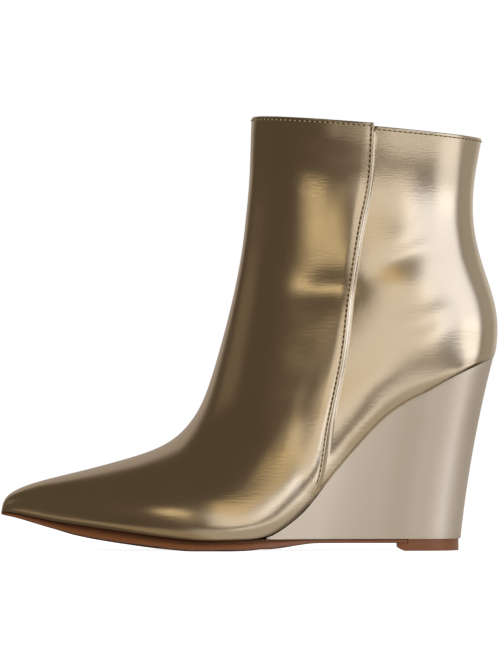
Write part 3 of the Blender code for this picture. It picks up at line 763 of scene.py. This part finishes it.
def rounded_top(points, radius):
    """A panel's rows with its topline rolled inwards, as a folded edge is."""
    rise = points[-1] - points[-4]
    rise = rise / np.linalg.norm(rise, axis=1, keepdims=True)
    middle = points[-1].mean(axis=0)
    inwards = middle - points[-1]
    inwards[:, 2] = 0
    inwards = inwards / np.linalg.norm(inwards, axis=1, keepdims=True)
    extra = []
    for turn in np.linspace(0, np.pi / 2, 6):
        down = radius * (1 - np.sin(turn))
        extra.append(points[-1] - rise * down + inwards * radius * (1 - np.cos(turn)))
    below = points[-1] - rise * radius * FOLD_DEPTH
    keep = points[:-1][(points[:-1, :, 2] < below[:, 2] - radius * FOLD_GAP).all(axis=1)]
    return np.concatenate([keep, [below], extra])


def build_upper_bmesh(look):
    """The upper's skin: front panel, back panel and the turned-in margin, joined in one mesh."""
    shape = panels(look.stitch_inset)
    front = rounded_top(shape.front, look.topline_round)
    back = rounded_top(shape.back, look.topline_round)
    bm = bmesh.new()
    front_grid = add_grid(bm, front)
    back_grid = add_grid(bm, back)
    foot = front_grid[: shape.first + 1]
    outer_edge = back_grid[0][BACK_COLUMNS:0:-1] + [ring[0] for ring in foot[:0:-1]] + front_grid[0]
    inner_edge = [ring[-1] for ring in foot[1:]] + back_grid[0][-2:BACK_COLUMNS:-1]
    edge = outer_edge + inner_edge
    turned = turned_margin(edge)
    edges = [bm.edges.get((edge[index - 1], vertex)) for index, vertex in enumerate(edge)]
    edges = [found for found in edges if found]
    made = bmesh.ops.extrude_edge_only(bm, edges=edges)["geom"]
    new_vertices = [item for item in made if isinstance(item, bmesh.types.BMVert)]
    places = {tuple(round(part, 7) for part in vertex.co): place for vertex, place in zip(edge, turned)}
    for vertex in new_vertices:
        vertex.co = places[tuple(round(part, 7) for part in vertex.co)]
    bmesh.ops.remove_doubles(bm, verts=bm.verts, dist=2 * SAME_PLACE)
    bmesh.ops.recalc_face_normals(bm, faces=bm.faces)
    top = max(bm.faces, key=lambda face: face.calc_center_median().z)
    if (top.calc_center_median().y - INNER_SHIFT) * top.normal.y < 0:
        bmesh.ops.reverse_faces(bm, faces=bm.faces)
    return bm


def linear(hex_colour):
    """An sRGB hex colour as linear red, green, blue and 1."""
    parts = [int(hex_colour[index : index + 2], 16) / 255 for index in (1, 3, 5)]
    turned = [part / 12.92 if part <= 0.04045 else ((part + 0.055) / 1.055) ** 2.4 for part in parts]
    return (*turned, 1.0)


def node(tree, kind, inputs=None, stops=(), **settings):
    """Adds a node with its settings, and gives its inputs values or links them to outputs.

    stops are the places and hex colours of a colour ramp."""
    made = tree.nodes.new(kind)
    for name, value in settings.items():
        setattr(made, name, value)
    for name, value in (inputs or {}).items():
        if isinstance(value, bpy.types.NodeSocket):
            tree.links.new(value, made.inputs[name])
        else:
            made.inputs[name].default_value = value
    for index, (place, colour) in enumerate(stops):
        elements = made.color_ramp.elements
        element = elements[index] if index < 2 else elements.new(place)
        element.position, element.color = place, linear(colour)
    return made


def band(tree, angle, low, high, soft):
    """1 where an angle lies between low and high, fading to 0 within soft degrees beside them."""
    middle, half = math.radians(low + high) / 2, math.radians(high - low) / 2
    away = node(tree, "ShaderNodeMath", {0: angle, 1: middle}, operation="SUBTRACT")
    far = node(tree, "ShaderNodeMath", {0: away.outputs[0]}, operation="ABSOLUTE")
    soft = math.radians(soft)
    inside = node(
        tree,
        "ShaderNodeMapRange",
        {"Value": far.outputs[0], "From Min": half + soft / 2, "From Max": half - soft / 2},
        interpolation_type="SMOOTHSTEP",
    )
    return inside.outputs["Result"]


def new_material(name, **values):
    """A material whose Principled shader has these values. Returns it, its tree and its shader."""
    material = bpy.data.materials.new(name)
    material.use_nodes = True
    tree = material.node_tree
    shader = tree.nodes["Principled BSDF"]
    for key, value in values.items():
        shader.inputs[key.replace("_", " ").title()].default_value = value
    return material, tree, shader


def dress(tree, shader, pattern, stops, height, depth):
    """Gives a shader its colours from one pattern and its bumps from another."""
    shade = node(tree, "ShaderNodeValToRGB", {"Fac": pattern}, stops)
    tree.links.new(shade.outputs["Color"], shader.inputs["Base Color"])
    bump = node(tree, "ShaderNodeBump", {"Height": height, "Distance": depth})
    tree.links.new(bump.outputs["Normal"], shader.inputs["Normal"])


def metallic_leather(name, colour, roughness, grain, swell):
    """Polyurethane leather with a laminated metal foil: a soft mirror over a very fine grain.

    The foil reflects the room with blurred edges, and the leather under it rolls a little."""
    material, tree, shader = new_material(name, metallic=1.0)
    place = node(tree, "ShaderNodeTexCoord").outputs["Object"]
    cloud = node(tree, "ShaderNodeTexNoise", {"Vector": place, "Scale": 1 / CLOUD_SIZE, "Detail": 3.0})
    stops = ((CLOUD_FROM, colour[0]), (CLOUD_TO, colour[1]))
    tint = node(tree, "ShaderNodeValToRGB", {"Fac": cloud.outputs["Fac"]}, stops)
    tree.links.new(tint.outputs["Color"], shader.inputs["Base Color"])
    rough = node(
        tree,
        "ShaderNodeMapRange",
        {
            "Value": cloud.outputs["Fac"],
            "From Min": CLOUD_FROM,
            "From Max": CLOUD_TO,
            "To Min": roughness - CLOUD_ROUGHNESS,
            "To Max": roughness + CLOUD_ROUGHNESS,
        },
    )
    tree.links.new(rough.outputs["Result"], shader.inputs["Roughness"])
    pores = node(tree, "ShaderNodeTexNoise", {"Vector": place, "Scale": 1 / GRAIN_SIZE, "Detail": 2.0})
    rolls = node(tree, "ShaderNodeTexNoise", {"Vector": place, "Scale": 1 / ROLL_SIZE, "Detail": 1.0})
    low = node(tree, "ShaderNodeBump", {"Height": rolls.outputs["Fac"], "Distance": swell})
    fine = node(
        tree,
        "ShaderNodeBump",
        {"Height": pores.outputs["Fac"], "Distance": grain, "Normal": low.outputs["Normal"]},
    )
    scale = (1 / BRUSH_LENGTH, 1 / BRUSH_LENGTH, 1 / BRUSH_HEIGHT)
    long = node(tree, "ShaderNodeMapping", {"Vector": place, "Scale": scale})
    lines = node(tree, "ShaderNodeTexNoise", {"Vector": long.outputs["Vector"], "Scale": 1.0})
    brushed = node(
        tree,
        "ShaderNodeBump",
        {"Height": lines.outputs["Fac"], "Distance": grain, "Normal": fine.outputs["Normal"]},
    )
    tree.links.new(brushed.outputs["Normal"], shader.inputs["Normal"])
    return material


def lining_material(colour):
    """Tricot lining of the inside: matte, with soft upright ribs."""
    material, tree, shader = new_material("Tricot lining, matte", roughness=0.85)
    place = node(tree, "ShaderNodeTexCoord").outputs["Object"]
    scale = 2 * math.pi / WAVE_RADIANS / RIB_SPACING
    wave = node(tree, "ShaderNodeTexWave", {"Vector": place, "Scale": scale, "Distortion": 0.6})
    ribs = wave.outputs["Fac"]
    dress(tree, shader, ribs, enumerate(colour), ribs, RIB_DEPTH)
    return material


def insole_material(colour):
    """Synthetic leather of the insole's sock: a soft sheen over an embossed pebble of about 1 mm."""
    material, tree, shader = new_material("Synthetic leather sock, embossed", roughness=0.55)
    place = node(tree, "ShaderNodeTexCoord").outputs["Object"]
    cells = node(tree, "ShaderNodeTexVoronoi", {"Vector": place, "Scale": 1 / PEBBLE_SIZE})
    pebble = cells.outputs["Distance"]
    dress(tree, shader, pebble, enumerate(colour), pebble, PEBBLE_DEPTH)
    return material


def sole_material(name, stops):
    """Moulded thermoplastic rubber, brown, with a satin skin and faint flow marks along the edge.

    stops are pairs of a share of the edge's height and a colour, from the ground up. On the outsole the
    darker stops are painted shade: a shadow beside the ground and shade under the upper at the top."""
    material, tree, shader = new_material(name, roughness=0.42)
    place = node(tree, "ShaderNodeTexCoord").outputs["Object"]
    scale = (1 / FLOW_LENGTH, 1 / FLOW_LENGTH, 1 / FLOW_HEIGHT)
    stretched = node(tree, "ShaderNodeMapping", {"Vector": place, "Scale": scale})
    marks = node(tree, "ShaderNodeTexNoise", {"Vector": stretched.outputs["Vector"], "Scale": 1.0})
    height = node(tree, "ShaderNodeAttribute", attribute_name="height").outputs["Fac"]
    mixed = node(
        tree,
        "ShaderNodeMath",
        {0: marks.outputs["Fac"], 1: FLOW_SHIFT, 2: height},
        operation="MULTIPLY_ADD",
    )
    dress(tree, shader, mixed.outputs["Value"], stops, marks.outputs["Fac"], FLOW_DEPTH)
    return material


def thread_material(colour):
    """Bonded polyester thread: a tight twist with a dull shine."""
    return new_material("Bonded polyester thread", base_color=linear(colour), roughness=0.5)[0]


def hole_material(colour):
    """Needle holes: dark dashes of painted shade, standing for the shade inside the holes."""
    return new_material("Painted shade in the needle holes", base_color=linear(colour), roughness=0.9)[0]


@lru_cache
def wedge_front(tip=WEDGE_TIP):
    """Where the feather line has risen by the tip's height over the wedge's base."""
    x = np.linspace(0, SEAT_X, CURVE_SAMPLES)
    rise = feather_height(x) - WEDGE_BASE
    return float(np.interp(tip + 2 * CLEARANCE, rise, x))


def wedge_outline(shares, level):
    """(x, outer y, inner y) at shares of the wedge's run and a level, 0 on top and 1 at its base."""
    start = wedge_front(COVER_TIP)
    top_end = SEAT_X - WEDGE_INSET
    hollow = WEDGE_HOLLOW * 4 * level * (1 - level) * shares
    back = top_end - level * WEDGE_LEAN - hollow
    narrow = 1 - level * WEDGE_TAPER * smooth(shares / TAPER_RUN)
    outline = [start + (back - start) * shares]
    for side in SIDES:
        on_top = np.interp(start + (top_end - start) * shares, *moved_plan(side, WEDGE_INSET))
        outline.append(INNER_SHIFT + (on_top - INNER_SHIFT) * narrow)
    return outline


def lift_front():
    """Where the top lift starts along the foot."""
    return SEAT_X - WEDGE_INSET - WEDGE_LEAN - LIFT_LENGTH


def base_outline(inset):
    """(x, outer y, inner y) of the wedge's base, moved in by inset at its back and sides."""
    x, outer, inner = wedge_outline(np.linspace(0, 1, CURVE_SAMPLES), 1)
    x = x[0] + (x - x[0]) * (1 - inset / (x[-1] - x[0]))
    width = 1 - 2 * inset / (inner.max() - outer.min())
    return x, INNER_SHIFT + (outer - INNER_SHIFT) * width, INNER_SHIFT + (inner - INNER_SHIFT) * width


def build_wedge_bmesh(look):
    """The wedge's wall from side to side round its back, closed on top and underneath."""
    half = np.sin(np.linspace(0, np.pi / 2, look.stations))
    levels = np.linspace(0, 1, look.levels)
    rows = []
    for level in levels:
        x, outer, inner = wedge_outline(half, level)
        top_z = parallel_height(wedge_outline(half, 0)[0], look.top_gap)
        z = top_z + (WEDGE_BASE - CLEARANCE - top_z) * level
        outer_wall = np.stack([x, outer, z], axis=1)
        inner_wall = np.stack([x, inner, z], axis=1)
        rows.append(np.concatenate([outer_wall[:-1], inner_wall[::-1]]))
    bm = bmesh.new()
    grid = add_grid(bm, np.array(rows))
    for ring in (grid[0], grid[-1]):
        for index in range(len(ring) // 2):
            corners = (ring[index], ring[index + 1], ring[-index - 2], ring[-index - 1])
            bm.faces.new(list(dict.fromkeys(corners)))
    bm.faces.new([ring[0] for ring in grid] + [ring[-1] for ring in grid[::-1]])
    bmesh.ops.remove_doubles(bm, verts=bm.verts, dist=SAME_PLACE)
    bmesh.ops.recalc_face_normals(bm, faces=bm.faces)
    return bm


def outsole_profile(x, join, base_x, base_sides):
    """(left, right, bottom, top) of the outsole at one place along the foot."""
    sides = []
    for side, base_side in zip(SIDES, base_sides):
        on_foot = np.interp(x, *moved_plan(side, -SOLE_LEDGE))
        ledge = SOLE_LEDGE * (1 - smooth((x - join) / LIFT_LENGTH))
        under_wedge = np.interp(x, base_x, base_side) + side * ledge
        sides.append(on_foot if x <= join else under_wedge)
    along = x / LENGTH + 0.5
    top = feather_height(x)
    if x > join - LENGTH * BALL_TO_WEDGE:
        top = min(top, WEDGE_BASE - CLEARANCE)
    thick = SOLE_AT_BALL * monotone(SOLE_THICKNESS, 1, along)
    to_shank = smooth((along - SHANK_START) / (SHANK_FULL - SHANK_START))
    thick = thick + (SHANK_SOLE - thick) * to_shank
    return sides[0], sides[1], max(top - CLEARANCE - thick, 0.0), top


def build_outsole_bmesh(look):
    """The thin sole as rings along the foot, with rounded lower edges and a height attribute."""
    join = wedge_front()
    start = moved_plan(OUTER, -SOLE_LEDGE)[0][0]
    end = lift_front() + LIFT_LAP
    base_x, *base_sides = base_outline(WEDGE_INSET)
    turns = np.linspace(0, np.pi / 2, look.stations)
    corner_turns = np.linspace(0, np.pi / 2, CORNER_STEPS)
    under_foot = start + (join - start) * (1 - np.cos(turns))
    under_wedge = np.linspace(join, end, look.stations // 2)[1:]
    rows = []
    for x in np.concatenate([under_foot, under_wedge]):
        left, right, bottom, top = outsole_profile(x, join, base_x, base_sides)
        edge = min(look.edge_round, (top - bottom) / 3, (right - left) / 4)
        corner = [(edge * (1 - math.sin(turn)), edge * (1 - math.cos(turn))) for turn in corner_turns]
        ring = [(x, left, top)]
        ring += [(x, left + out, bottom + up) for out, up in corner[::-1]]
        ring += [(x, right - out, bottom + up) for out, up in corner]
        ring += [(x, right, top)]
        rows.append(ring)
    bm = bmesh.new()
    layer = bm.verts.layers.float.new("height")
    grid = add_grid(bm, np.array(rows))
    for lower, upper in zip(grid[:-1], grid[1:]):
        bm.faces.new((lower[0], upper[0], upper[-1], lower[-1]))
    bm.faces.new(grid[0])
    bm.faces.new(grid[-1])
    for ring in grid:
        low = min(vertex.co.z for vertex in ring)
        tall = max(vertex.co.z for vertex in ring) - low
        for vertex in ring:
            vertex[layer] = (vertex.co.z - low) / tall
    bmesh.ops.remove_doubles(bm, verts=bm.verts, dist=SAME_PLACE)
    bmesh.ops.recalc_face_normals(bm, faces=bm.faces)
    return bm


def stitch(bm, place, along, outwards, size, thickness):
    """Adds one stitch: a short rounded thread that lies along the row, sunk in at both ends."""
    side = along.cross(outwards).normalized()
    up = side.cross(along).normalized()
    axes = Matrix((along.normalized() * size / 2, side * thickness / 2, up * thickness / 2)).transposed()
    matrix = Matrix.Translation(place) @ axes.to_4x4()
    bmesh.ops.create_uvsphere(bm, u_segments=8, v_segments=6, radius=1.0, matrix=matrix)


def stitch_row(bm, line, outwards, look):
    """Stitches at an even pitch along a line of points, and the needle holes between them."""
    run = run_along(line)
    count = int(run[-1] / look.pitch)
    step = run[-1] / count
    for index in range(count):
        middle = (index + 0.5) * step
        half = look.length / 2
        along = Vector(read_line(line, run, middle + half) - read_line(line, run, middle - half))
        square = read_line(outwards, run, middle)
        square /= np.linalg.norm(square)
        place = Vector(read_line(line, run, middle) + square * look.proud)
        stitch(bm, place, along, Vector(square), look.length, look.thickness)
        # A dark dash between two stitches: painted shade of the needle hole
        first = len(bm.faces)
        hole = Vector(read_line(line, run, middle + step / 2))
        stitch(bm, hole, along, Vector(square), step - look.length + look.hole, look.hole)
        bm.faces.ensure_lookup_table()
        for face in bm.faces[first:]:
            face.material_index = 1


def row_beside_edge(grid, square, side, inset):
    """Points and normals of a grid at a distance from its outer or inner edge, for each row."""
    if side == INNER:
        grid, square = grid[:, ::-1], square[:, ::-1]
    runs = [run_along(ring) for ring in grid]
    return tuple(
        np.array([read_line(ring, run, inset) for ring, run in zip(rings, runs)])
        for rings in (grid, square)
    )


def row_below_topline(grid, square, inset):
    """Points and normals of a grid at a distance below its topline, for each column."""
    turned = np.swapaxes(grid[::-1], 0, 1)
    return row_beside_edge(turned, np.swapaxes(square[::-1], 0, 1), OUTER, inset)


def metres(name, description, default, low, high):
    """A length in metres, with its limits."""
    return FloatProperty(
        name=name,
        description=description,
        default=default,
        min=low,
        max=high,
        unit="LENGTH",
    )


def factor(name, description, default, low, high):
    """A share of one, with its limits."""
    return FloatProperty(
        name=name,
        description=description,
        default=default,
        min=low,
        max=high,
        subtype="FACTOR",
    )


def whole(name, description, default, low, high):
    """A number of steps, with its limits."""
    return IntProperty(name=name, description=description, default=default, min=low, max=high)


def tone(name, description, default):
    """An sRGB hex colour."""
    return StringProperty(name=name, description=description, default=default)


def soften(piece, name, width, degrees):
    """Rounds the edges of a piece that turn by more than some degrees."""
    made = piece.modifiers.new(name, "BEVEL")
    made.width = width
    made.segments = 3
    made.limit_method = "ANGLE"
    made.angle_limit = math.radians(degrees)


class BootUpper(bpy.types.PropertyGroup):
    stitch_inset: metres("Stitch inset", "From the lapped edge to its stitches", 0.0017, 0.001, 0.004)
    topline_round: metres("Topline round", "Radius of the collar's fold", 0.0007, 0.0002, 0.0009)
    foil: tone("Foil", "Colour of the metallic foil where it is darker", "#D2C3A8")
    foil_light: tone("Light foil", "Colour of the metallic foil where it is lighter", "#D8CBB2")
    roughness: factor("Foil roughness", "How much the foil blurs its reflections", 0.2, 0.05, 0.6)
    grain: metres("Grain depth", "Depth of the fine leather grain", 0.00003, 0.0, 0.0001)
    swell: metres("Roll depth", "Depth of the soft rolls under the foil", 0.0006, 0.0, 0.003)


class BootStitches(bpy.types.PropertyGroup):
    pitch: metres("Pitch", "Distance from stitch to stitch", 0.0025, 0.001, 0.006)
    length: metres("Length", "Visible length of a stitch", 0.0014, 0.0005, 0.005)
    thickness: metres("Thickness", "Thickness of the thread", 0.0007, 0.0002, 0.001)
    proud: metres("Proud", "Height of the thread's middle over the panel", 0.0001, -0.0005, 0.0005)
    topline_inset: metres("Topline inset", "From the topline to its stitches", 0.0016, 0.001, 0.004)
    hole: metres("Needle hole", "Width of the holes between the stitches", 0.00062, 0.0001, 0.001)
    thread: tone("Thread", "Colour of the thread", "#9C8660")
    # The needle holes' colour is painted shade
    shade: tone("Shade", "Colour inside the needle holes", "#2B2016")


class BootWedge(bpy.types.PropertyGroup):
    stations: whole("Stations", "Steps from the wedge's tip to its back", 60, 12, 200)
    levels: whole("Levels", "Steps from top to base", 24, 4, 80)
    top_gap: metres("Top gap", "From the feather line up to the wedge's top", -0.0001, -0.001, 0.001)
    edge_round: metres("Edge round", "Radius of the cover's folded edges", 0.0006, 0.0002, 0.002)
    cover: tone("Cover", "Colour of the wedge's cover where it is darker", "#E4D9C6")
    cover_light: tone("Light cover", "Colour of the wedge's cover where it is lighter", "#ECE2D1")
    roughness: factor("Cover roughness", "How much the cover blurs its reflections", 0.56, 0.05, 0.8)


class BootSole(bpy.types.PropertyGroup):
    stations: whole("Stations", "Steps from the toe to the wedge", 90, 20, 300)
    edge_round: metres("Edge round", "Radius of the sole's lower edge", 0.0007, 0.0002, 0.002)
    lift_bevel: metres("Lift bevel", "Width of the top lift's worn edges", 0.0004, 0.0001, 0.001)
    # The dark rim beside the ground is a painted shadow, and the upper part of the edge is painted shade
    # under the upper's overhang
    ground_shadow: tone("Worn", "Dark rim beside the ground", "#2A180D")
    light: tone("Brown", "Middle of the edge", "#754420")
    shade_under_upper: tone("Shade under upper", "Upper part of the edge", "#53301A")


class BootInside(bpy.types.PropertyGroup):
    lining: tone("Lining", "Colour of the lining", "#B59E7C")
    sock: tone("Sock", "Colour of the insole's sock", "#B8A27E")


class BootStage(bpy.types.PropertyGroup):
    floor_size: metres("Floor", "Radius of the floor", 3.0, 1.0, 10.0)
    camera_distance: metres("Camera distance", "From the boot's middle plane", 3.0, 0.5, 5.0)
    camera_height: metres("Camera height", "Height over the floor", 0.06, 0.02, 1.0)
    frame_width: metres("Frame width", "Width of the picture at the middle plane", 0.2431, 0.1, 1.0)
    frame_middle: FloatVectorProperty(
        name="Frame middle",
        description="Point of the middle plane at the centre of the frame",
        default=(0.0002, 0.0, 0.1048),
        size=3,
        subtype="TRANSLATION",
        unit="LENGTH",
    )


def aim(thing, target):
    """Turns a lamp or a camera towards a point. Returns its distance."""
    gaze = Vector(target) - thing.location
    thing.rotation_euler = gaze.to_track_quat("-Z", "Y").to_euler()
    return gaze.length


class BOOT_OT_upper(bpy.types.Operator):
    """Builds the metallic upper with its lapped seams, folded topline and lining."""

    bl_idname = "boot.upper"
    bl_label = "Upper"

    def execute(self, context):
        look = context.scene.boot_upper
        inside = context.scene.boot_inside
        outer = metallic_leather(
            "Foil laminated synthetic leather",
            (look.foil, look.foil_light),
            look.roughness,
            look.grain,
            look.swell,
        )
        piece = new_piece("upper_skin", mesh_from(build_upper_bmesh(look), "upper_skin", outer))
        piece.data.materials.append(lining_material((inside.lining, inside.sock)))
        wall = piece.modifiers.new("Wall", "SOLIDIFY")
        wall.thickness = UPPER_WALL
        wall.offset = -1
        wall.material_offset = 1
        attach(piece, BODY)
        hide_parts("upper")
        return {"FINISHED"}


class BOOT_OT_stitches(bpy.types.Operator):
    """Sews the rows beside both side seams and below the topline."""

    bl_idname = "boot.stitches"
    bl_label = "Stitches"

    def execute(self, context):
        look = context.scene.boot_stitches
        inset = context.scene.boot_upper.stitch_inset
        shape = panels(inset)
        middle = np.array([0, INNER_SHIFT, 0])
        front_square = normals(shape.front, shape.front - middle)
        back_square = normals(shape.back, shape.back - middle)
        threads = (thread_material(look.thread), hole_material(look.shade))
        for side, name in ((OUTER, "seam_stitches_outer"), (INNER, "seam_stitches_inner")):
            bm = bmesh.new()
            points, square = row_beside_edge(shape.front, front_square, side, inset)
            stitch_row(bm, points[shape.first + 2 : -2], square[shape.first + 2 : -2], look)
            self.finish(bm, name, threads)
        bm = bmesh.new()
        for grid, grid_square in ((shape.front, front_square), (shape.back, back_square)):
            points, square = row_below_topline(grid, grid_square, look.topline_inset)
            stitch_row(bm, points, square, look)
        self.finish(bm, "topline_stitches", threads)
        return {"FINISHED"}

    @staticmethod
    def finish(bm, name, threads):
        """Makes a piece of one group of stitches, with its thread and the shade in its holes."""
        piece = new_piece(name, mesh_from(bm, name, threads[0]))
        piece.data.materials.append(threads[1])
        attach(piece, BODY)


class BOOT_OT_wedge(bpy.types.Operator):
    """Builds the covered wedge heel with its folded edges."""

    bl_idname = "boot.wedge"
    bl_label = "Wedge"

    def execute(self, context):
        look = context.scene.boot_wedge
        upper = context.scene.boot_upper
        cover = metallic_leather(
            "Foil laminated wedge cover, satin",
            (look.cover, look.cover_light),
            look.roughness,
            upper.grain,
            upper.swell / 2,
        )
        piece = new_piece("wedge_cover", mesh_from(build_wedge_bmesh(look), "wedge_cover", cover))
        soften(piece, "Folded edge", look.edge_round, 50)
        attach(piece, BODY)
        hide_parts("wedge_heel")
        return {"FINISHED"}


class BOOT_OT_sole(bpy.types.Operator):
    """Builds the outsole with painted shade along its edge, beside the ground and under the upper, and
    the top lift under the wedge's back.
    """

    bl_idname = "boot.sole"
    bl_label = "Sole"

    def execute(self, context):
        look = context.scene.boot_sole
        # The edge's colours paint shade: a shadow beside the ground and shade under the upper
        edge = zip(SOLE_BANDS, (look.ground_shadow, look.light, look.light, look.shade_under_upper))
        rubber = sole_material("Moulded rubber sole, shade painted on its edge", edge)
        outsole = new_piece("outsole_edge", mesh_from(build_outsole_bmesh(look), "outsole_edge", rubber))
        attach(outsole, BODY)
        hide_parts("outsole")

        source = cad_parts["top_lift"]
        bm = bmesh.new()
        bm.from_mesh(source.data)
        bmesh.ops.remove_doubles(bm, verts=bm.verts, dist=SAME_PLACE)
        block = sole_material("Moulded rubber top lift", ((0, look.light), (1, look.light)))
        lift = new_piece("lift_block", mesh_from(bm, "lift_block", block))
        soften(lift, "Worn edge", look.lift_bevel, 40)
        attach(lift, BODY)
        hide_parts("top_lift")
        return {"FINISHED"}


class BOOT_OT_insole(bpy.types.Operator):
    """Gives the insole board its sock."""

    bl_idname = "boot.insole"
    bl_label = "Insole"

    def execute(self, context):
        look = context.scene.boot_inside
        sock = insole_material((look.lining, look.sock))
        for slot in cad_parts["insole"].material_slots:
            slot.material = sock
        return {"FINISHED"}


class BOOT_OT_stage(bpy.types.Operator):
    """Sets the pale floor, the soft studio light and the camera."""

    bl_idname = "boot.stage"
    bl_label = "Stage"

    def execute(self, context):
        look = context.scene.boot_stage
        self.floor(look.floor_size)
        self.world(context.scene)
        self.lights()
        self.camera(context.scene, look)
        context.scene.view_settings.view_transform = "Standard"
        return {"FINISHED"}

    @staticmethod
    def floor(radius):
        """A lit white table. The foil doesn't mirror it, as if grey card lay round the boot."""
        bm = bmesh.new()
        bmesh.ops.create_circle(bm, cap_ends=True, segments=96, radius=radius)
        paint, _, shader = new_material("White light table", base_color=linear("#C9CBCD"), roughness=0.8)
        shader.inputs["Emission Color"].default_value = (1.0, 1.0, 1.0, 1.0)
        shader.inputs["Emission Strength"].default_value = TABLE_GLOW
        floor = new_piece("floor", mesh_from(bm, "floor", paint))
        floor.visible_glossy = False

    @staticmethod
    def world(scene):
        """A dim warm room with soft patches of light, and plain white behind the boot."""
        world = bpy.data.worlds.new("Studio")
        scene.world = world
        world.use_nodes = True
        tree = world.node_tree
        place = node(tree, "ShaderNodeTexCoord").outputs["Generated"]
        parts = node(tree, "ShaderNodeSeparateXYZ", {"Vector": place})
        towards = node(tree, "ShaderNodeMath", {0: parts.outputs["Y"], 1: -1.0}, operation="MULTIPLY")
        around = node(
            tree,
            "ShaderNodeMath",
            {0: parts.outputs["X"], 1: towards.outputs[0]},
            operation="ARCTAN2",
        )
        above = node(tree, "ShaderNodeMath", {0: parts.outputs["Z"]}, operation="ARCSINE")
        light = linear(ROOM_COLOUR)[:3]
        for left, right, low, high, soft_across, soft_up, colour, strength in LIGHT_PATCHES:
            across = band(tree, around.outputs[0], left, right, soft_across)
            up = band(tree, above.outputs[0], low, high, soft_up)
            amount = node(tree, "ShaderNodeMath", {0: across, 1: up}, operation="MULTIPLY")
            glow = [part * strength for part in linear(colour)[:3]]
            patch = node(
                tree,
                "ShaderNodeVectorMath",
                {0: glow, 1: amount.outputs[0]},
                operation="MULTIPLY",
            )
            total = node(tree, "ShaderNodeVectorMath", {0: light, 1: patch.outputs[0]}, operation="ADD")
            light = total.outputs[0]
        seen = node(tree, "ShaderNodeLightPath").outputs["Is Camera Ray"]
        colour = node(
            tree,
            "ShaderNodeMix",
            {"Factor": seen, 6: light, 7: (1.0, 1.0, 1.0, 1.0)},
            data_type="RGBA",
        )
        tree.links.new(colour.outputs[2], tree.nodes["Background"].inputs["Color"])

    @staticmethod
    def lights():
        """A soft box overhead for the floor and the sole. The foil doesn't mirror it."""
        light = bpy.data.lights.new("overhead", "AREA")
        light.shape = "RECTANGLE"
        light.size, light.size_y = LAMP_SIZE
        light.energy = LAMP_POWER
        lamp = bpy.data.objects.new("overhead", light)
        lamp.location = LAMP_PLACE
        aim(lamp, (0, 0, 0))
        lamp.visible_glossy = False
        bpy.context.scene.collection.objects.link(lamp)

    @staticmethod
    def camera(scene, look):
        """Stands low beside the boot and faces its outer side, as the photograph's camera did."""
        data = bpy.data.cameras.new("camera")
        camera = bpy.data.objects.new("camera", data)
        middle = Vector(look.frame_middle)
        camera.location = (middle.x, middle.y - look.camera_distance, look.camera_height)
        data.sensor_fit = "HORIZONTAL"
        data.lens = data.sensor_width * aim(camera, middle) / look.frame_width
        data.clip_end = 50
        scene.collection.objects.link(camera)
        scene.camera = camera


class BOOT_PT_panel(bpy.types.Panel):
    """Lists the boot's pieces and their sizes and colours."""

    bl_idname = "BOOT_PT_panel"
    bl_label = "Heeled ankle boot"
    bl_space_type = "VIEW_3D"
    bl_region_type = "UI"
    bl_category = "Boot"

    def draw(self, context):
        for attribute, (group, operator) in GROUPS.items():
            box = self.layout.box()
            for name in group.__annotations__:
                box.prop(getattr(context.scene, attribute), name)
            box.operator(operator.bl_idname)


GROUPS = {
    "boot_upper": (BootUpper, BOOT_OT_upper),
    "boot_stitches": (BootStitches, BOOT_OT_stitches),
    "boot_wedge": (BootWedge, BOOT_OT_wedge),
    "boot_sole": (BootSole, BOOT_OT_sole),
    "boot_inside": (BootInside, BOOT_OT_insole),
    "boot_stage": (BootStage, BOOT_OT_stage),
}
CLASSES = [*(thing for pair in GROUPS.values() for thing in pair), BOOT_PT_panel]


def register():
    for thing in CLASSES:
        bpy.utils.register_class(thing)
    for attribute, (group, _) in GROUPS.items():
        setattr(bpy.types.Scene, attribute, PointerProperty(type=group))


def unregister():
    for attribute in GROUPS:
        delattr(bpy.types.Scene, attribute)
    for thing in reversed(CLASSES):
        bpy.utils.unregister_class(thing)


def main():
    """Builds the boot and its stage."""
    register()
    bpy.ops.boot.upper()
    bpy.ops.boot.stitches()
    bpy.ops.boot.wedge()
    bpy.ops.boot.sole()
    bpy.ops.boot.insole()
    bpy.ops.boot.stage()


if __name__ == "__main__":
    main()
